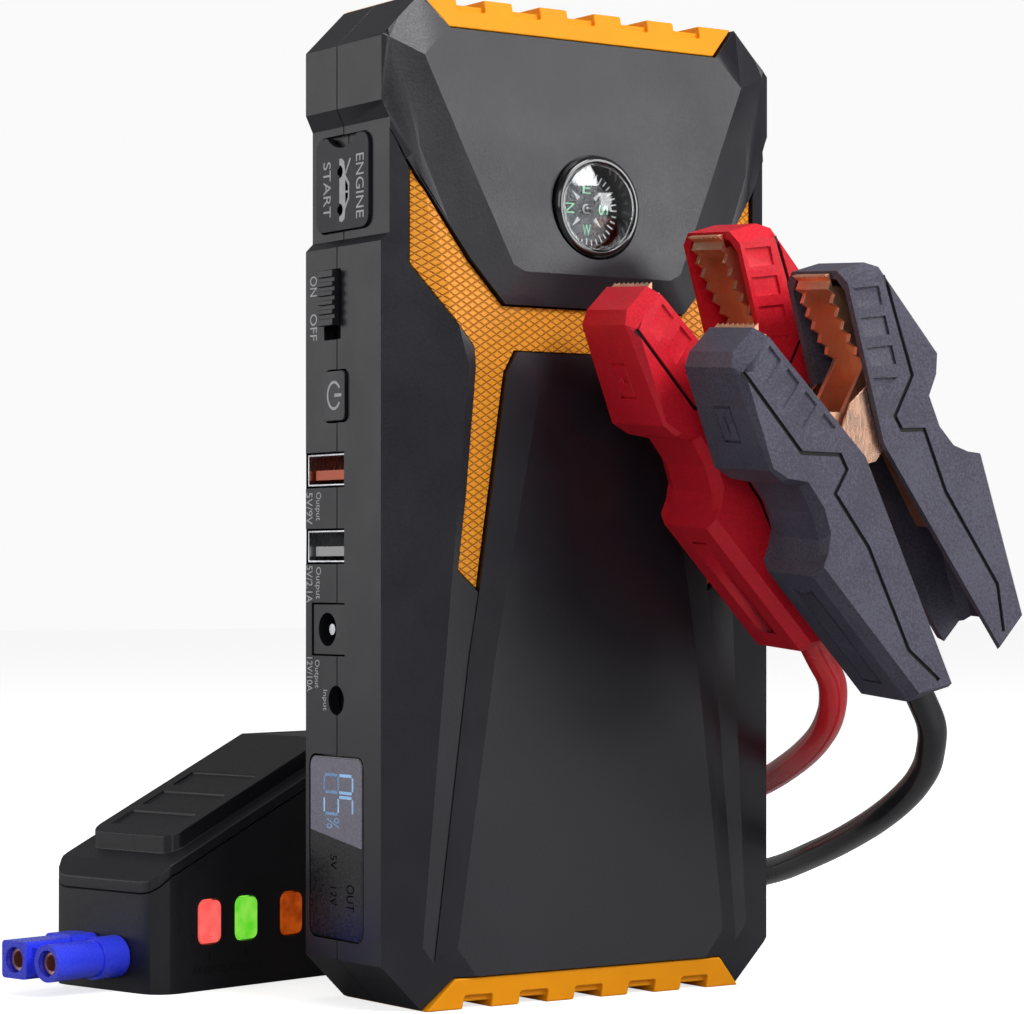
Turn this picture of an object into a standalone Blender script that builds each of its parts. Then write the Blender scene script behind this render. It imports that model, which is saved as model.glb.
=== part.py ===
"""Car jump starter pack with its smart clamp leads, as separate pieces at real size.

Metres, +Z up. The pack stands on its bottom bumper with the middle of its base at the origin:
X runs across the pack, its crowned front faces -Y and its flat back faces +Y. The sockets are on
the -X side. The smart module stands on the floor behind the pack, and its two leads come round
the +X side to the clamps in front.
"""
import math

import bmesh
import bpy
from mathutils import Euler, Matrix, Vector

# ---------------------------------------------------------------- gaps shared by all pieces
SEAT = 0.0003            # between pieces that rest on each other
RUNNING = 0.0003         # round a piece that slides or turns
THROUGH = 0.004          # how far a cutting tool sticks out of what it cuts

# ---------------------------------------------------------------- pack case
PACK_WIDTH = 0.0900
PACK_HEIGHT = 0.1870
SIDE_DEPTH = 0.0285      # the side faces, front to back
CORNER = 0.00865         # the 45 degree corners, along each edge
WALL = 0.0022
REAR_WALL = 0.0014
SEAM_Y = 0.0010          # parting line of the two shells
REAR_EDGE = 0.0020       # chamfer round the back

HALF = PACK_WIDTH / 2
LEFT_X = -HALF
INSIDE_X = LEFT_X + WALL + SEAT  # where the parts behind the side wall begin
FRONT_Y = -SIDE_DEPTH / 2
REAR_Y = SIDE_DEPTH / 2


def low(inset, height):
    """A point of a front outline, from the side inwards and from the base up."""
    return (HALF - inset, height)


def high(inset, drop):
    """A point of a front outline, from the side inwards and from the top down."""
    return (HALF - inset, PACK_HEIGHT - drop)


SIDE_SLOPE = 0.364       # how fast the side facets come forward, per metre inwards
LOWER_FRONT_Y = -0.0200  # front of the case at the top of its lower slope
LOWER_TOP_Z = high(0, 0.0650)[1]
LOWER_SLOPE = 0.028
UPPER_FRONT_Y = -0.0189  # front of the case at the foot of its upper slope
UPPER_BASE_Z = high(0, 0.0568)[1]
UPPER_SLOPE = 0.085

RECESS_DEPTH = 0.0015    # the shallow step in both sides at the height of the jump socket
RECESS_DROP = 0.0235     # its top edge, below the top of the pack
RECESS_HEIGHT = 0.0210
RECESS_LOWER_RAMP = 0.0015
RECESS_UPPER_RAMP = 0.0031
RECESS_TOP_Z = PACK_HEIGHT - RECESS_DROP
RECESS_LOW_Z = RECESS_TOP_Z - RECESS_HEIGHT
RECESS_X = LEFT_X + RECESS_DEPTH

PANEL_LIP = 0.00025      # the raised panels stand this proud of the case at their rims
PANEL_ROOT = 0.0022      # and reach this far into it
LOWER_PANEL_Y = -0.0210
LOWER_PANEL_SLOPE = 0.024
SHIELD_Y = -0.0204
SHIELD_SLOPE = 0.088
# right half of each panel, outwards from the middle
LOWER_PANEL_RIM = [high(0.0264, 0.0656), high(0.0240, 0.0695), low(0.0191, 0.0813),
                   low(0.0164, 0.0645), low(0.0100, 0.0098), low(0.0089, -0.0010)]
LOWER_PANEL_FACE = [high(0.0324, 0.0719), high(0.0304, 0.0739), low(0.0247, 0.0813),
                    low(0.0215, 0.0645), low(0.0139, 0.0098), low(0.0125, -0.0010)]
SHIELD_RIM = [high(0.0242, 0.0568), high(0.0170, 0.0488), high(0.0045, 0.0310),
              high(-0.0005, 0.0215), high(-0.0005, 0.0080), high(0.0081, -0.0010)]
SHIELD_FACE = [high(0.0282, 0.0506), high(0.0256, 0.0494), high(0.0170, 0.0310),
               high(0.0130, 0.0223), high(0.0081, 0.0117), high(0.0140, 0.0059)]
LOW_CORNER_POINT = (low(0.0076, 0.0126)[0], -0.0171, 0.0126)
LOW_CORNER_SLOPE_X = 0.2287
LOW_CORNER_SLOPE_Z = 0.2104

INLAY_DEPTH = 0.0008     # face of the inlay, below the case round it
INLAY_THICKNESS = 0.0012
INLAY_GAP = 0.0003
# outer side of the inlay's right half, from the leg's tip up to the arm's tip
INLAY_OUTER = [low(0.0186, 0.0771), low(0.0140, 0.0809), low(0.0155, 0.0945),
               high(0.0173, 0.0687), high(0.0172, 0.0650), high(0.0052, 0.0500),
               high(0.0052, 0.0325)]

BUMPER_HEIGHT = 0.0059
BUMPER_INNER = 0.0142    # from the side to the bumper's inner corners
BUMPER_STEP = 0.0006     # set back from the panel beside it
BUMPER_SLOPE = 0.25
NOTCHES = 5
NOTCH_PITCH = 0.0126
NOTCH_WIDTH = 0.0062
NOTCH_DEPTH = 0.0013
NOTCH_LENGTH = 0.0140    # from the bumper's front edge
SCOOP_HEIGHT = 0.0012    # shallow hollow in the front face, past the notch
SCOOP_DEPTH = 0.0006

CAVITY_FRONT = 0.0026    # from the front edge of the side faces inwards
POCKET_HALF = 0.0120     # deeper pocket behind the lower panel
POCKET_LOW_Z = 0.0120
POCKET_DROP = 0.0790
POCKET_FRONT_Y = -0.0168

# ---------------------------------------------------------------- screws
SCREW_INSET = 0.0088
SCREW_RISE = 0.0059      # above the bumper's inner edge
SCREW_SHANK = 0.0012     # radius
SCREW_HEAD = 0.0023
SCREW_HEAD_HEIGHT = 0.0014
SCREW_LENGTH = 0.0190
SCREW_SINK = 0.0018      # depth of the counterbore in the back
BOSS_WALL = 0.0014

# ---------------------------------------------------------------- compass in the shield
COMPASS_DROP = 0.0376
BEZEL_RADIUS = 0.0097
BEZEL_FRONT_Y = -0.0201
BEZEL_THICKNESS = 0.0023
BEZEL_BEVEL = 0.0006
CUP_RADIUS = 0.0086
CUP_WALL = 0.0009
CUP_DEPTH = 0.0053       # behind the bezel
DOME_SEAT = 0.0009       # its ledge, behind the bezel's front
DOME_RADIUS = 0.0081
DOME_RISE = 0.0018
DOME_THICKNESS = 0.0008
CARD_RADIUS = 0.0072
CARD_THICKNESS = 0.0008
CARD_HEIGHT = 0.0016     # above the floor of the cup
CARD_BORE = 0.0011
PIVOT_RADIUS = 0.0007
PIVOT_FOOT = 0.0022

# ---------------------------------------------------------------- fittings on the -X side
# (middle across the side, share of the height below the recess) places them; sizes are
# (across, up)
COVER_SIZE = (0.0185, 0.0175)
COVER_MIDDLE_Y = 0.00075
COVER_THICKNESS = 0.0014
COVER_PROUD = 0.0006
COVER_CORNER = 0.0022
THUMB_CHORD = 0.0105
THUMB_DEPTH = 0.0022

JACK_WELL = 0.0039       # radius
JACK_SPACING = 0.0084
JACK_WALL = 0.0012
JACK_LENGTH = 0.0165
JACK_BACK = 0.0030
CONTACT_RADIUS = 0.0018
CONTACT_LENGTH = 0.0150

KNOB_PLACE = (0.00265, 0.9232)
KNOB_SIZE = (0.0053, 0.0103)
KNOB_PROUD = 0.0017
KNOB_REACH = 0.0020      # into the wall
KNOB_RIBS = 6
KNOB_GROOVE = 0.0005
SWITCH_TRAVEL = 0.0022
SWITCH_BODY = (0.0076, 0.0150)
SWITCH_BODY_DEPTH = 0.0062
STEM_SIZE = (0.0020, 0.0024)
STEM_REACH = 0.0015

BUTTON_PLACE = (0.00125, 0.7954)
BUTTON_SIZE = (0.0077, 0.0093)
BUTTON_CORNER = 0.0010
BUTTON_PROUD = 0.0006
BUTTON_FLANGE = 0.0008   # wide and thick
BUTTON_TRAVEL = 0.0005
TACT_SIZE = 0.0050
TACT_HEIGHT = 0.0035

USB_SIZE = (0.0133, 0.0060)
USB_PLACES = {"quick_usb": (0.00545, 0.6997), "plain_usb": (0.00545, 0.5996)}
USB_LENGTH = 0.0140
USB_SKIN = 0.0004
USB_SINK = 0.0004        # how far the socket lies behind the side face
TONGUE_SIZE = (0.0108, 0.0018)
TONGUE_LENGTH = 0.0088
TONGUE_SETBACK = 0.0010
TONGUE_DROP = 0.0009     # the tongue sits below the middle

OUTLET_PLACE = (0.0042, 0.4908)
OUTLET_SIZE = (0.0112, 0.0093)
OUTLET_BORE_OFFSET = 0.0007
OUTLET_BORE = 0.00315
OUTLET_BORE_DEPTH = 0.0095
OUTLET_LENGTH = 0.0140
OUTLET_SINK = 0.0003
OUTLET_PIN = 0.00105
INLET_PLACE = (0.0013, 0.3985)
INLET_WALL_BORE = 0.00275
INLET_BORE = 0.0018
INLET_SIZE = (0.0050, 0.0060)
INLET_LENGTH = 0.0120
INLET_BORE_DEPTH = 0.0080

WINDOW_PLACE = (0.00135, 0.2063)
WINDOW_SIZE = (0.0187, 0.0338)
WINDOW_CORNER = 0.0018
WINDOW_THICKNESS = 0.0011
WINDOW_LEDGE = 0.0013
DISPLAY_DEPTH = 0.0036

# ---------------------------------------------------------------- inside the pack
BOARD_GAP = 0.0003       # in front of the sockets that it carries
BOARD_THICKNESS = 0.0016
BOARD_EDGE = 0.0020      # from the parts behind the wall to its edge
BOARD_REACH = 0.0265     # from the side wall inwards
BOARD_MARGIN = 0.0024    # below the lowest and under the highest part that it carries
TRAY_GAP = 0.0014        # between the board and the tray
TRAY_WALL = 0.0012
TRAY_RISE = 0.0090       # above the floor of the case
TRAY_DROP = 0.0490       # from the top of the pack
CELLS = 3
GUARD_LEFT_X = -0.0150
GUARD_BACK = 0.0070      # in front of the back wall
GUARD_THICKNESS = 0.0016
GUARD_HEIGHT = 0.0260

# ---------------------------------------------------------------- smart module, in its own axes
MODULE_PLACE = (-0.0655, 0.0322, 0.0)
MODULE_TURN = 13.5       # degrees from the pack's width
MODULE_LENGTH = 0.0880
MODULE_WIDTH = 0.0325
MODULE_LOW = 0.0214      # height at the plug end
MODULE_HIGH = 0.0440
MODULE_RAMP_START = 0.0035
MODULE_RAMP_STEP = 0.0034
MODULE_RAMP_END = 0.0485
MODULE_CORNER = 0.0050
MODULE_WALL = 0.0018
LID_THICKNESS = 0.0022
PAD_INSET = 0.0040
PAD_START = 0.0070
PAD_RISE = 0.0034
PAD_CORNER = 0.0030
GRIP_START = 0.0035      # first hollow, from the pad's edge
GRIP_PITCH = 0.0080
GRIPS = 3
GRIP_LENGTH = 0.0055
GRIP_INSET = 0.0030
GRIP_DEPTH = 0.0005
SLOT_PLACE = (0.0505, 0.0255)  # narrow slot in the top of the pad
SLOT_SIZE = (0.0125, 0.0020)
SLOT_DEPTH = 0.0008
LAMP_STARTS = {"red": 0.0103, "green": 0.0200, "orange": 0.0322}
LAMP_SIZE = (0.0055, 0.0082)
LAMP_LOW_Z = 0.0091
LAMP_CORNER = 0.0014
LAMP_PROUD = 0.0003
LAMP_REACH = 0.0036
LAMP_FLANGE = 0.0008
MODULE_BOARD = (0.0640, 0.0180, 0.0016)
MODULE_BOARD_START = 0.0120

PLUG_LENGTH = 0.0175     # outside the module
PLUG_CENTRE = (0.0168, 0.0068)
PLUG_SPACING = 0.0096
PLUG_BARREL = 0.0036     # radius, and half of the square barrel
PLUG_CORNER = 0.0008
PLUG_WEB_SINK = 0.0015   # the web between the barrels is set back
PLUG_BORE = 0.0025
PLUG_COLLAR = 0.0005     # added to the barrels at the module
PLUG_COLLAR_LENGTH = 0.0050
PLUG_TAIL = 0.0060       # inside the module
PLUG_CONTACT_WALL = 0.0006
PLUG_CONTACT_SINK = 0.0012

# ---------------------------------------------------------------- clamps, in their own axes
CLAMP_TURN = (97.5, 57.7, 0.4)
CLAMP_PLACES = {"red": (0.0163, -0.0392, 0.1146), "black": (0.0213, -0.0636, 0.1058)}
CLAMP_WIDTH = 0.0196
SHOWN_OPENING = 28.2     # degrees between the jaws as they stand
GRIP_GAP = 0.0030        # from the pin's axis to each grip's edge
GRIP_WALL = 0.0015
# one grip with its jaw closed, from its tip round its outer face to its handle's end:
# (along, away from the grip's edge, half width there), then its side face's outline
GRIP_CROWN = [(-0.0294, 0.0000, 0.0072), (-0.0293, 0.0060, 0.0072), (-0.0278, 0.0084, 0.0078),
              (-0.0096, 0.0158, 0.0092), (-0.0060, 0.0150, 0.0086), (-0.0026, 0.0127, 0.0076),
              (0.0030, 0.0137, 0.0068), (0.0078, 0.0160, 0.0068), (0.0103, 0.0190, 0.0070),
              (0.0113, 0.0216, 0.0074), (0.0428, 0.0230, 0.0074), (0.0469, 0.0154, 0.0082)]
GRIP_SIDE = [(-0.0271, 0.0000), (-0.0270, 0.0054), (-0.0260, 0.0078), (-0.0098, 0.0152),
             (-0.0062, 0.0142), (-0.0029, 0.0117), (0.0031, 0.0125), (0.0073, 0.0146),
             (0.0093, 0.0173), (0.0104, 0.0198), (0.0421, 0.0212), (0.0461, 0.0150)]
GRIP_KNEE = 0.0026       # where the handle turns away
JAW_TIP = 0.0290
JAW_BACK = 0.0100
JAW_NECK = 0.0020        # from the pin's axis to the end of the back
JAW_SHOULDER = 0.0222
JAW_STEP = 0.0264        # where it passes under the grip's front wall
JAW_WIDTH = 0.0132
JAW_SKIN = 0.0011
# the line of the teeth's tips: (along, away from the pin's axis)
JAW_EDGE = [(-0.0290, 0.0014), (-0.0240, 0.0018), (-0.0200, 0.0024), (-0.0150, 0.0038),
            (-0.0112, 0.0054)]
TOOTH_PITCH = 0.0026
TOOTH_DEPTH = 0.0011
FRONT_PITCH = 0.00165    # of the small teeth across its front
FRONT_DEPTH = 0.0007
EAR_RADIUS = 0.0042
TAIL_END = 0.0230
TAIL_RISE = 0.0068
PIN_RADIUS = 0.0015
PIN_HEAD = 0.0023
PIN_HEAD_THICKNESS = 0.0007
SPRING_RADIUS = 0.0025
SPRING_WIRE = 0.0005
SPRING_TURNS = 4
SPRING_PITCH = 0.0013
SPRING_LEG = 0.0120
SPRING_ANGLES = (2.0, -14.0)  # of its two legs from the middle line

# ---------------------------------------------------------------- leads
LEAD_RADIUS = 0.00275
LEAD_ENTRIES = {"red": 0.0100, "black": 0.0220}  # across the module's end
LEAD_ENTRY_Z = 0.0220
LEAD_POINTS = 34
LEAD_ROUTES = {
    "red": [(0.0161, -0.0372, 0.0868), (0.0216, -0.0374, 0.0810), (0.0279, -0.0377, 0.0753),
            (0.0341, -0.0386, 0.0702), (0.0398, -0.0372, 0.0639), (0.0430, -0.0364, 0.0600),
            (0.0452, -0.0343, 0.0560), (0.0475, -0.0304, 0.0522), (0.0503, -0.0244, 0.0486),
            (0.0534, -0.0163, 0.0450), (0.0570, -0.0060, 0.0414), (0.0609, 0.0059, 0.0379),
            (0.0655, 0.0235, 0.0338), (0.0640, 0.0400, 0.0300), (0.0545, 0.0555, 0.0265),
            (0.0410, 0.0640, 0.0240), (0.0285, 0.0650, 0.0224), (0.0182, 0.0626, 0.0220),
            (0.0129, 0.0613, 0.0220)],
    "black": [(0.0211, -0.0616, 0.0780), (0.0266, -0.0618, 0.0722), (0.0329, -0.0621, 0.0665),
              (0.0391, -0.0630, 0.0614), (0.0445, -0.0617, 0.0552), (0.0471, -0.0605, 0.0514),
              (0.0493, -0.0577, 0.0475), (0.0518, -0.0534, 0.0435), (0.0544, -0.0461, 0.0388),
              (0.0571, -0.0352, 0.0335), (0.0610, -0.0208, 0.0283), (0.0654, -0.0044, 0.0234),
              (0.0712, 0.0165, 0.0182), (0.0738, 0.0370, 0.0150), (0.0705, 0.0560, 0.0145),
              (0.0610, 0.0710, 0.0160), (0.0480, 0.0790, 0.0185), (0.0340, 0.0787, 0.0210),
              (0.0154, 0.0742, 0.0220), (0.0101, 0.0730, 0.0220)],
}

PLANES = {
    "xz": Matrix(((1, 0, 0, 0), (0, 0, -1, 0), (0, 1, 0, 0), (0, 0, 0, 1))),
    "yz": Matrix(((0, 0, 1, 0), (1, 0, 0, 0), (0, 1, 0, 0), (0, 0, 0, 1))),
    "xy": Matrix.Identity(4),
}


# ---------------------------------------------------------------- the bench
class Bench:
    """The two collections, and the empty that carries what is being made."""

    def __init__(self, name):
        for old in list(bpy.data.objects):
            bpy.data.objects.remove(old)
        self.parts = bpy.data.collections.new(name)
        self.cutters = bpy.data.collections.new("cutters")
        bpy.context.scene.collection.children.link(self.parts)
        bpy.context.scene.collection.children.link(self.cutters)
        self.carrier = None

    def empty(self, name, place, turn=(0, 0, 0), carrier=None):
        """An empty that carries an assembly, turned by degrees."""
        holder = bpy.data.objects.new(name, None)
        holder.location = place
        holder.rotation_euler = Euler([math.radians(angle) for angle in turn])
        holder.parent = carrier
        self.parts.objects.link(holder)
        return holder

    def raw(self, name, mesh):
        """A solid that is still a tool: unseen in renders until it becomes a piece."""
        solid = bpy.data.objects.new(name, mesh)
        solid.parent = self.carrier
        solid.hide_render = True
        solid.display_type = "WIRE"
        self.cutters.objects.link(solid)
        return solid

    def piece(self, solid, name, colour, roughness, metallic=0.0):
        """Turn a solid into a named piece with its own material."""
        solid.name = name
        solid.hide_render = False
        solid.display_type = "TEXTURED"
        self.cutters.objects.unlink(solid)
        self.parts.objects.link(solid)
        material = bpy.data.materials.new(name)
        material.use_nodes = True
        shader = material.node_tree.nodes["Principled BSDF"]
        shader.inputs["Base Color"].default_value = (*colour, 1.0)
        shader.inputs["Roughness"].default_value = roughness
        shader.inputs["Metallic"].default_value = metallic
        solid.data.materials.clear()
        solid.data.materials.append(material)
        return solid


BENCH = Bench("jump_starter_pack")


# ---------------------------------------------------------------- basic solids
def mesh_from(name, build):
    """A mesh that a bmesh function fills, welded and facing out."""
    work = bmesh.new()
    build(work)
    bmesh.ops.remove_doubles(work, verts=work.verts, dist=1e-6)
    bmesh.ops.recalc_face_normals(work, faces=work.faces)
    mesh = bpy.data.meshes.new(name)
    work.to_mesh(mesh)
    work.free()
    return mesh


def plate(outline, start, end, plane="xz", name="plate"):
    """A flat outline made solid from start to end along its plane's normal."""
    curve = bpy.data.curves.new(name, "CURVE")
    curve.dimensions = "2D"
    curve.fill_mode = "BOTH"
    curve.extrude = abs(end - start) / 2
    spline = curve.splines.new("POLY")
    spline.points.add(len(outline) - 1)
    for point, (across, up) in zip(spline.points, outline):
        point.co = (across, up, 0.0, 1.0)
    spline.use_cyclic_u = True
    guide = bpy.data.objects.new(name, curve)
    flat = bpy.data.meshes.new_from_object(guide)
    bpy.data.objects.remove(guide)
    middle = (start + end) / 2
    if plane == "xz":
        middle = -middle
    flat.transform(PLANES[plane] @ Matrix.Translation((0, 0, middle)))
    mesh = mesh_from(name, lambda work: work.from_mesh(flat))
    bpy.data.meshes.remove(flat)
    return BENCH.raw(name, mesh)


def box(low_corner, high_corner, name="box"):
    """A box between two corners."""
    low_corner, high_corner = Vector(low_corner), Vector(high_corner)
    size = Matrix.Diagonal((*(high_corner - low_corner), 1))
    place = Matrix.Translation((low_corner + high_corner) / 2)
    return BENCH.raw(name, mesh_from(name, lambda work: bmesh.ops.create_cube(
        work, size=1.0, matrix=place @ size)))


def rod(start, end, radius, far_radius=None, sides=24, name="rod"):
    """A round bar, or a cone, from start to end."""
    start, end = Vector(start), Vector(end)
    axis = end - start
    place = Matrix.Translation((start + end) / 2) @ axis.to_track_quat("Z", "Y").to_matrix().to_4x4()
    return BENCH.raw(name, mesh_from(name, lambda work: bmesh.ops.create_cone(
        work, cap_ends=True, segments=sides, radius1=radius,
        radius2=radius if far_radius is None else far_radius, depth=axis.length, matrix=place)))


def turned(profile, place, sides=32, name="turned"):
    """A profile of (radius, depth) turned about the Y axis through place."""
    work = bmesh.new()
    points = {place: work.verts.new((*place, 0)) for place in profile}
    for first, second in zip(profile, profile[1:]):
        work.edges.new((points[first], points[second]))
    mesh = bpy.data.meshes.new(name)
    work.to_mesh(mesh)
    work.free()
    solid = BENCH.raw(name, mesh)
    solid.location = place
    screw = solid.modifiers.new("turn", "SCREW")
    screw.axis = "Y"
    screw.steps = sides
    screw.render_steps = sides
    screw.use_merge_vertices = True
    screw.merge_threshold = 0.00001
    return solid


def loft(rings, name="loft"):
    """A solid through closed rings of the same number of points."""
    def build(work):
        made = [[work.verts.new(point) for point in ring] for ring in rings]
        work.faces.new(made[0])
        work.faces.new(made[-1])
        sides = []
        for near, far in zip(made, made[1:]):
            for index in range(len(near)):
                following = (index + 1) % len(near)
                corners = (near[index], near[following], far[following], far[index])
                sides.append(work.faces.new(corners))
        bmesh.ops.triangulate(work, faces=sides)

    return BENCH.raw(name, mesh_from(name, build))


def tube(points, radius, name, resolution=2):
    """A round wire or cord through its points, with closed ends."""
    curve = bpy.data.curves.new(name, "CURVE")
    curve.dimensions = "3D"
    curve.bevel_depth = radius
    curve.bevel_resolution = resolution
    curve.use_fill_caps = True
    spline = curve.splines.new("POLY")
    spline.points.add(len(points) - 1)
    for point, place in zip(spline.points, points):
        point.co = (*place, 1.0)
    return BENCH.raw(name, curve)


# ---------------------------------------------------------------- shaping
def combine(operation, solid, *tools):
    """Cut, join or intersect a solid with others, which stay as its tools."""
    for tool in tools:
        step = solid.modifiers.new(tool.name, "BOOLEAN")
        step.operation = operation
        step.solver = "EXACT"
        step.object = tool
    return solid


def cut(solid, *tools):
    return combine("DIFFERENCE", solid, *tools)


def join(solid, *tools):
    return combine("UNION", solid, *tools)


def common(solid, *tools):
    return combine("INTERSECT", solid, *tools)


def beyond(point, slope_x, slope_z, reach=0.3):
    """The space in front of a plane through point that falls back by these slopes."""
    normal = Vector((slope_x, -1, slope_z)).normalized()
    side = normal.to_track_quat("Z", "Y").to_matrix().to_4x4()
    place = Matrix.Translation(Vector(point) + normal * reach / 2) @ side
    size = Matrix.Diagonal((2 * reach, 2 * reach, reach, 1))
    return BENCH.raw("plane", mesh_from("plane", lambda work: bmesh.ops.create_cube(
        work, size=1.0, matrix=place @ size)))


def set_origin(solid, place):
    """Move a solid's origin without moving its shape."""
    solid.data.transform(Matrix.Translation(-Vector(place)))
    solid.location = Vector(place)
    return solid


# ---------------------------------------------------------------- outlines
def mirrored(half):
    """A right half, listed from the middle outwards and round, with its left half added."""
    return half + [(-across, up) for across, up in reversed(half)]


def rectangle(middle, size, corner=0.0, margin=0.0):
    """A rectangle's outline, with round corners and grown by a margin."""
    half_across = size[0] / 2 + margin
    half_up = size[1] / 2 + margin
    corners = [(1, 1), (-1, 1), (-1, -1), (1, -1)]
    if corner <= 0:
        return [(middle[0] + x * half_across, middle[1] + y * half_up) for x, y in corners]
    radius = corner + margin
    outline = []
    for quarter, (x, y) in enumerate(corners):
        centre = (middle[0] + x * (half_across - radius), middle[1] + y * (half_up - radius))
        outline += arc(centre, radius, 90 * quarter, 90 * quarter + 90, 4)
    return outline


def arc(centre, radius, start, end, steps):
    """Points on an arc, in degrees."""
    angles = [math.radians(start + (end - start) * step / steps) for step in range(steps + 1)]
    return [(centre[0] + radius * math.cos(a), centre[1] + radius * math.sin(a)) for a in angles]


def offset(outline, distance):
    """An outline listed anticlockwise, moved outwards by distance with sharp corners."""
    moved = []
    count = len(outline)
    for index in range(count):
        before, here, after = (Vector(outline[(index + step) % count]) for step in (-1, 0, 1))
        first = (here - before).normalized()
        second = (after - here).normalized()
        normal = Vector((first.y, -first.x)) + Vector((second.y, -second.x))
        scale = distance / (1 + first.dot(second))
        moved.append(tuple(here + normal * scale))
    return moved


# ---------------------------------------------------------------- the case's faces
BLACK = (0.021, 0.022, 0.026)
DARK = (0.012, 0.012, 0.013)
AMBER = (0.87, 0.37, 0.016)
RED = (0.52, 0.012, 0.018)
BLUE = (0.02, 0.04, 0.60)
COPPER = (0.72, 0.27, 0.12)
STEEL = (0.62, 0.63, 0.65)
BOARD_GREEN = (0.02, 0.12, 0.05)
CELL_SILVER = (0.55, 0.56, 0.58)
LAMP_COLOURS = {"red": (0.9, 0.10, 0.10), "green": (0.15, 0.85, 0.05), "orange": (0.85, 0.20, 0.01)}
PAINTS = {"red": RED, "black": BLACK}


def lower_panel_y(height):
    """Front of the lower panel at a height."""
    return LOWER_PANEL_Y + LOWER_PANEL_SLOPE * (LOWER_TOP_Z - height)


def shield_y(height):
    """Front of the upper panel at a height."""
    return SHIELD_Y + SHIELD_SLOPE * (height - UPPER_BASE_Z)


def case_y(across, height):
    """Front of the case, without its panels."""
    return max(FRONT_Y - SIDE_SLOPE * (HALF - abs(across)),
               LOWER_FRONT_Y + LOWER_SLOPE * (LOWER_TOP_Z - height),
               UPPER_FRONT_Y + UPPER_SLOPE * (height - UPPER_BASE_Z))


def case_outline():
    """The pack seen from the front, with its corners and the step in its sides."""
    return mirrored([low(CORNER, 0), low(0, CORNER),
                     (HALF, RECESS_LOW_Z - RECESS_LOWER_RAMP),
                     (HALF - RECESS_DEPTH, RECESS_LOW_Z),
                     (HALF - RECESS_DEPTH, RECESS_TOP_Z),
                     (HALF, RECESS_TOP_Z + RECESS_UPPER_RAMP),
                     high(0, CORNER), high(CORNER, 0)])


def crown(depth):
    """A block whose front is the case's front facets, moved back by depth."""
    block = box((-PACK_WIDTH, 2 * LOWER_PANEL_Y, -CORNER), (PACK_WIDTH, SIDE_DEPTH, PACK_HEIGHT + CORNER))
    return cut(block,
               beyond((HALF, FRONT_Y + depth, 0), SIDE_SLOPE, 0),
               beyond((-HALF, FRONT_Y + depth, 0), -SIDE_SLOPE, 0),
               beyond((0, LOWER_FRONT_Y + depth, LOWER_TOP_Z), 0, -LOWER_SLOPE),
               beyond((0, UPPER_FRONT_Y + depth, UPPER_BASE_Z), 0, UPPER_SLOPE))


def case_block(front):
    """The pack's whole outline made solid from a depth to its chamfered back."""
    outline = case_outline()
    return loft([[(x, front, z) for x, z in outline],
                 [(x, REAR_Y - REAR_EDGE, z) for x, z in outline],
                 [(x, REAR_Y, z) for x, z in offset(outline, -REAR_EDGE)]])


def raised_panel(rim, face, face_y):
    """A panel that rises from its rim on the case to its flat face."""
    rim = mirrored(rim)
    return loft([[(x, FRONT_Y + PANEL_ROOT, z) for x, z in rim],
                 [(x, case_y(x, z) - PANEL_LIP, z) for x, z in rim],
                 [(x, face_y(z), z) for x, z in mirrored(face)]])


def cavity(start, end):
    """The room inside the case between two depths."""
    room = plate(offset(case_outline(), -WALL), start, end)
    floor = BUMPER_HEIGHT + SEAT + WALL
    return common(room, box((-HALF, start - THROUGH, floor), (HALF, end + THROUGH, PACK_HEIGHT - floor)))


def bumper_outline(top, margin):
    """A bumper seen from the front, with its slanted ends run on past the end of the pack."""
    run = (BUMPER_INNER - CORNER) / BUMPER_HEIGHT
    ends = [low(CORNER - run * THROUGH, -THROUGH), low(BUMPER_INNER, BUMPER_HEIGHT)]
    outline = offset(mirrored(ends), margin)
    return [(x, PACK_HEIGHT - z) for x, z in reversed(outline)] if top else outline


def make_bumper(top):
    """One end bumper with its row of notches."""
    inner_z = PACK_HEIGHT - BUMPER_HEIGHT if top else BUMPER_HEIGHT
    end_z = PACK_HEIGHT if top else 0.0
    out = 1 if top else -1
    front = (shield_y if top else lower_panel_y)(inner_z) + BUMPER_STEP
    tip_y = front + BUMPER_SLOPE * BUMPER_HEIGHT
    past_z = inner_z - out * THROUGH
    side = [(front - BUMPER_SLOPE * THROUGH, past_z), (tip_y, end_z), (REAR_Y - REAR_EDGE, end_z),
            (REAR_Y, end_z - out * REAR_EDGE), (REAR_Y, past_z)]
    solid = plate(bumper_outline(top, 0.0), 2 * front, SIDE_DEPTH)
    common(solid, plate(side, -PACK_WIDTH, PACK_WIDTH, "yz"))
    profile = [(2 * front, end_z + out * THROUGH), (tip_y + NOTCH_LENGTH, end_z + out * THROUGH),
               (tip_y + NOTCH_LENGTH, end_z - out * NOTCH_DEPTH),
               (tip_y + SCOOP_DEPTH, end_z - out * NOTCH_DEPTH),
               (tip_y + SCOOP_DEPTH, end_z - out * (NOTCH_DEPTH + SCOOP_HEIGHT)),
               (2 * front, end_z - out * (NOTCH_DEPTH + SCOOP_HEIGHT))]
    for index in range(NOTCHES):
        x = (index - (NOTCHES - 1) / 2) * NOTCH_PITCH
        cut(solid, plate(profile, x - NOTCH_WIDTH / 2, x + NOTCH_WIDTH / 2, "yz"))
    return BENCH.piece(solid, "top_bumper" if top else "bottom_bumper", AMBER, 0.45)


def inlay_outline():
    """The whole inlay: two branching arms joined by the bar between the panels."""
    shield = [SHIELD_RIM[2], SHIELD_RIM[1], SHIELD_RIM[0]]
    panel = [LOWER_PANEL_RIM[0], LOWER_PANEL_RIM[1], LOWER_PANEL_RIM[2]]
    return mirrored(panel + INLAY_OUTER + shield)


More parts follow.
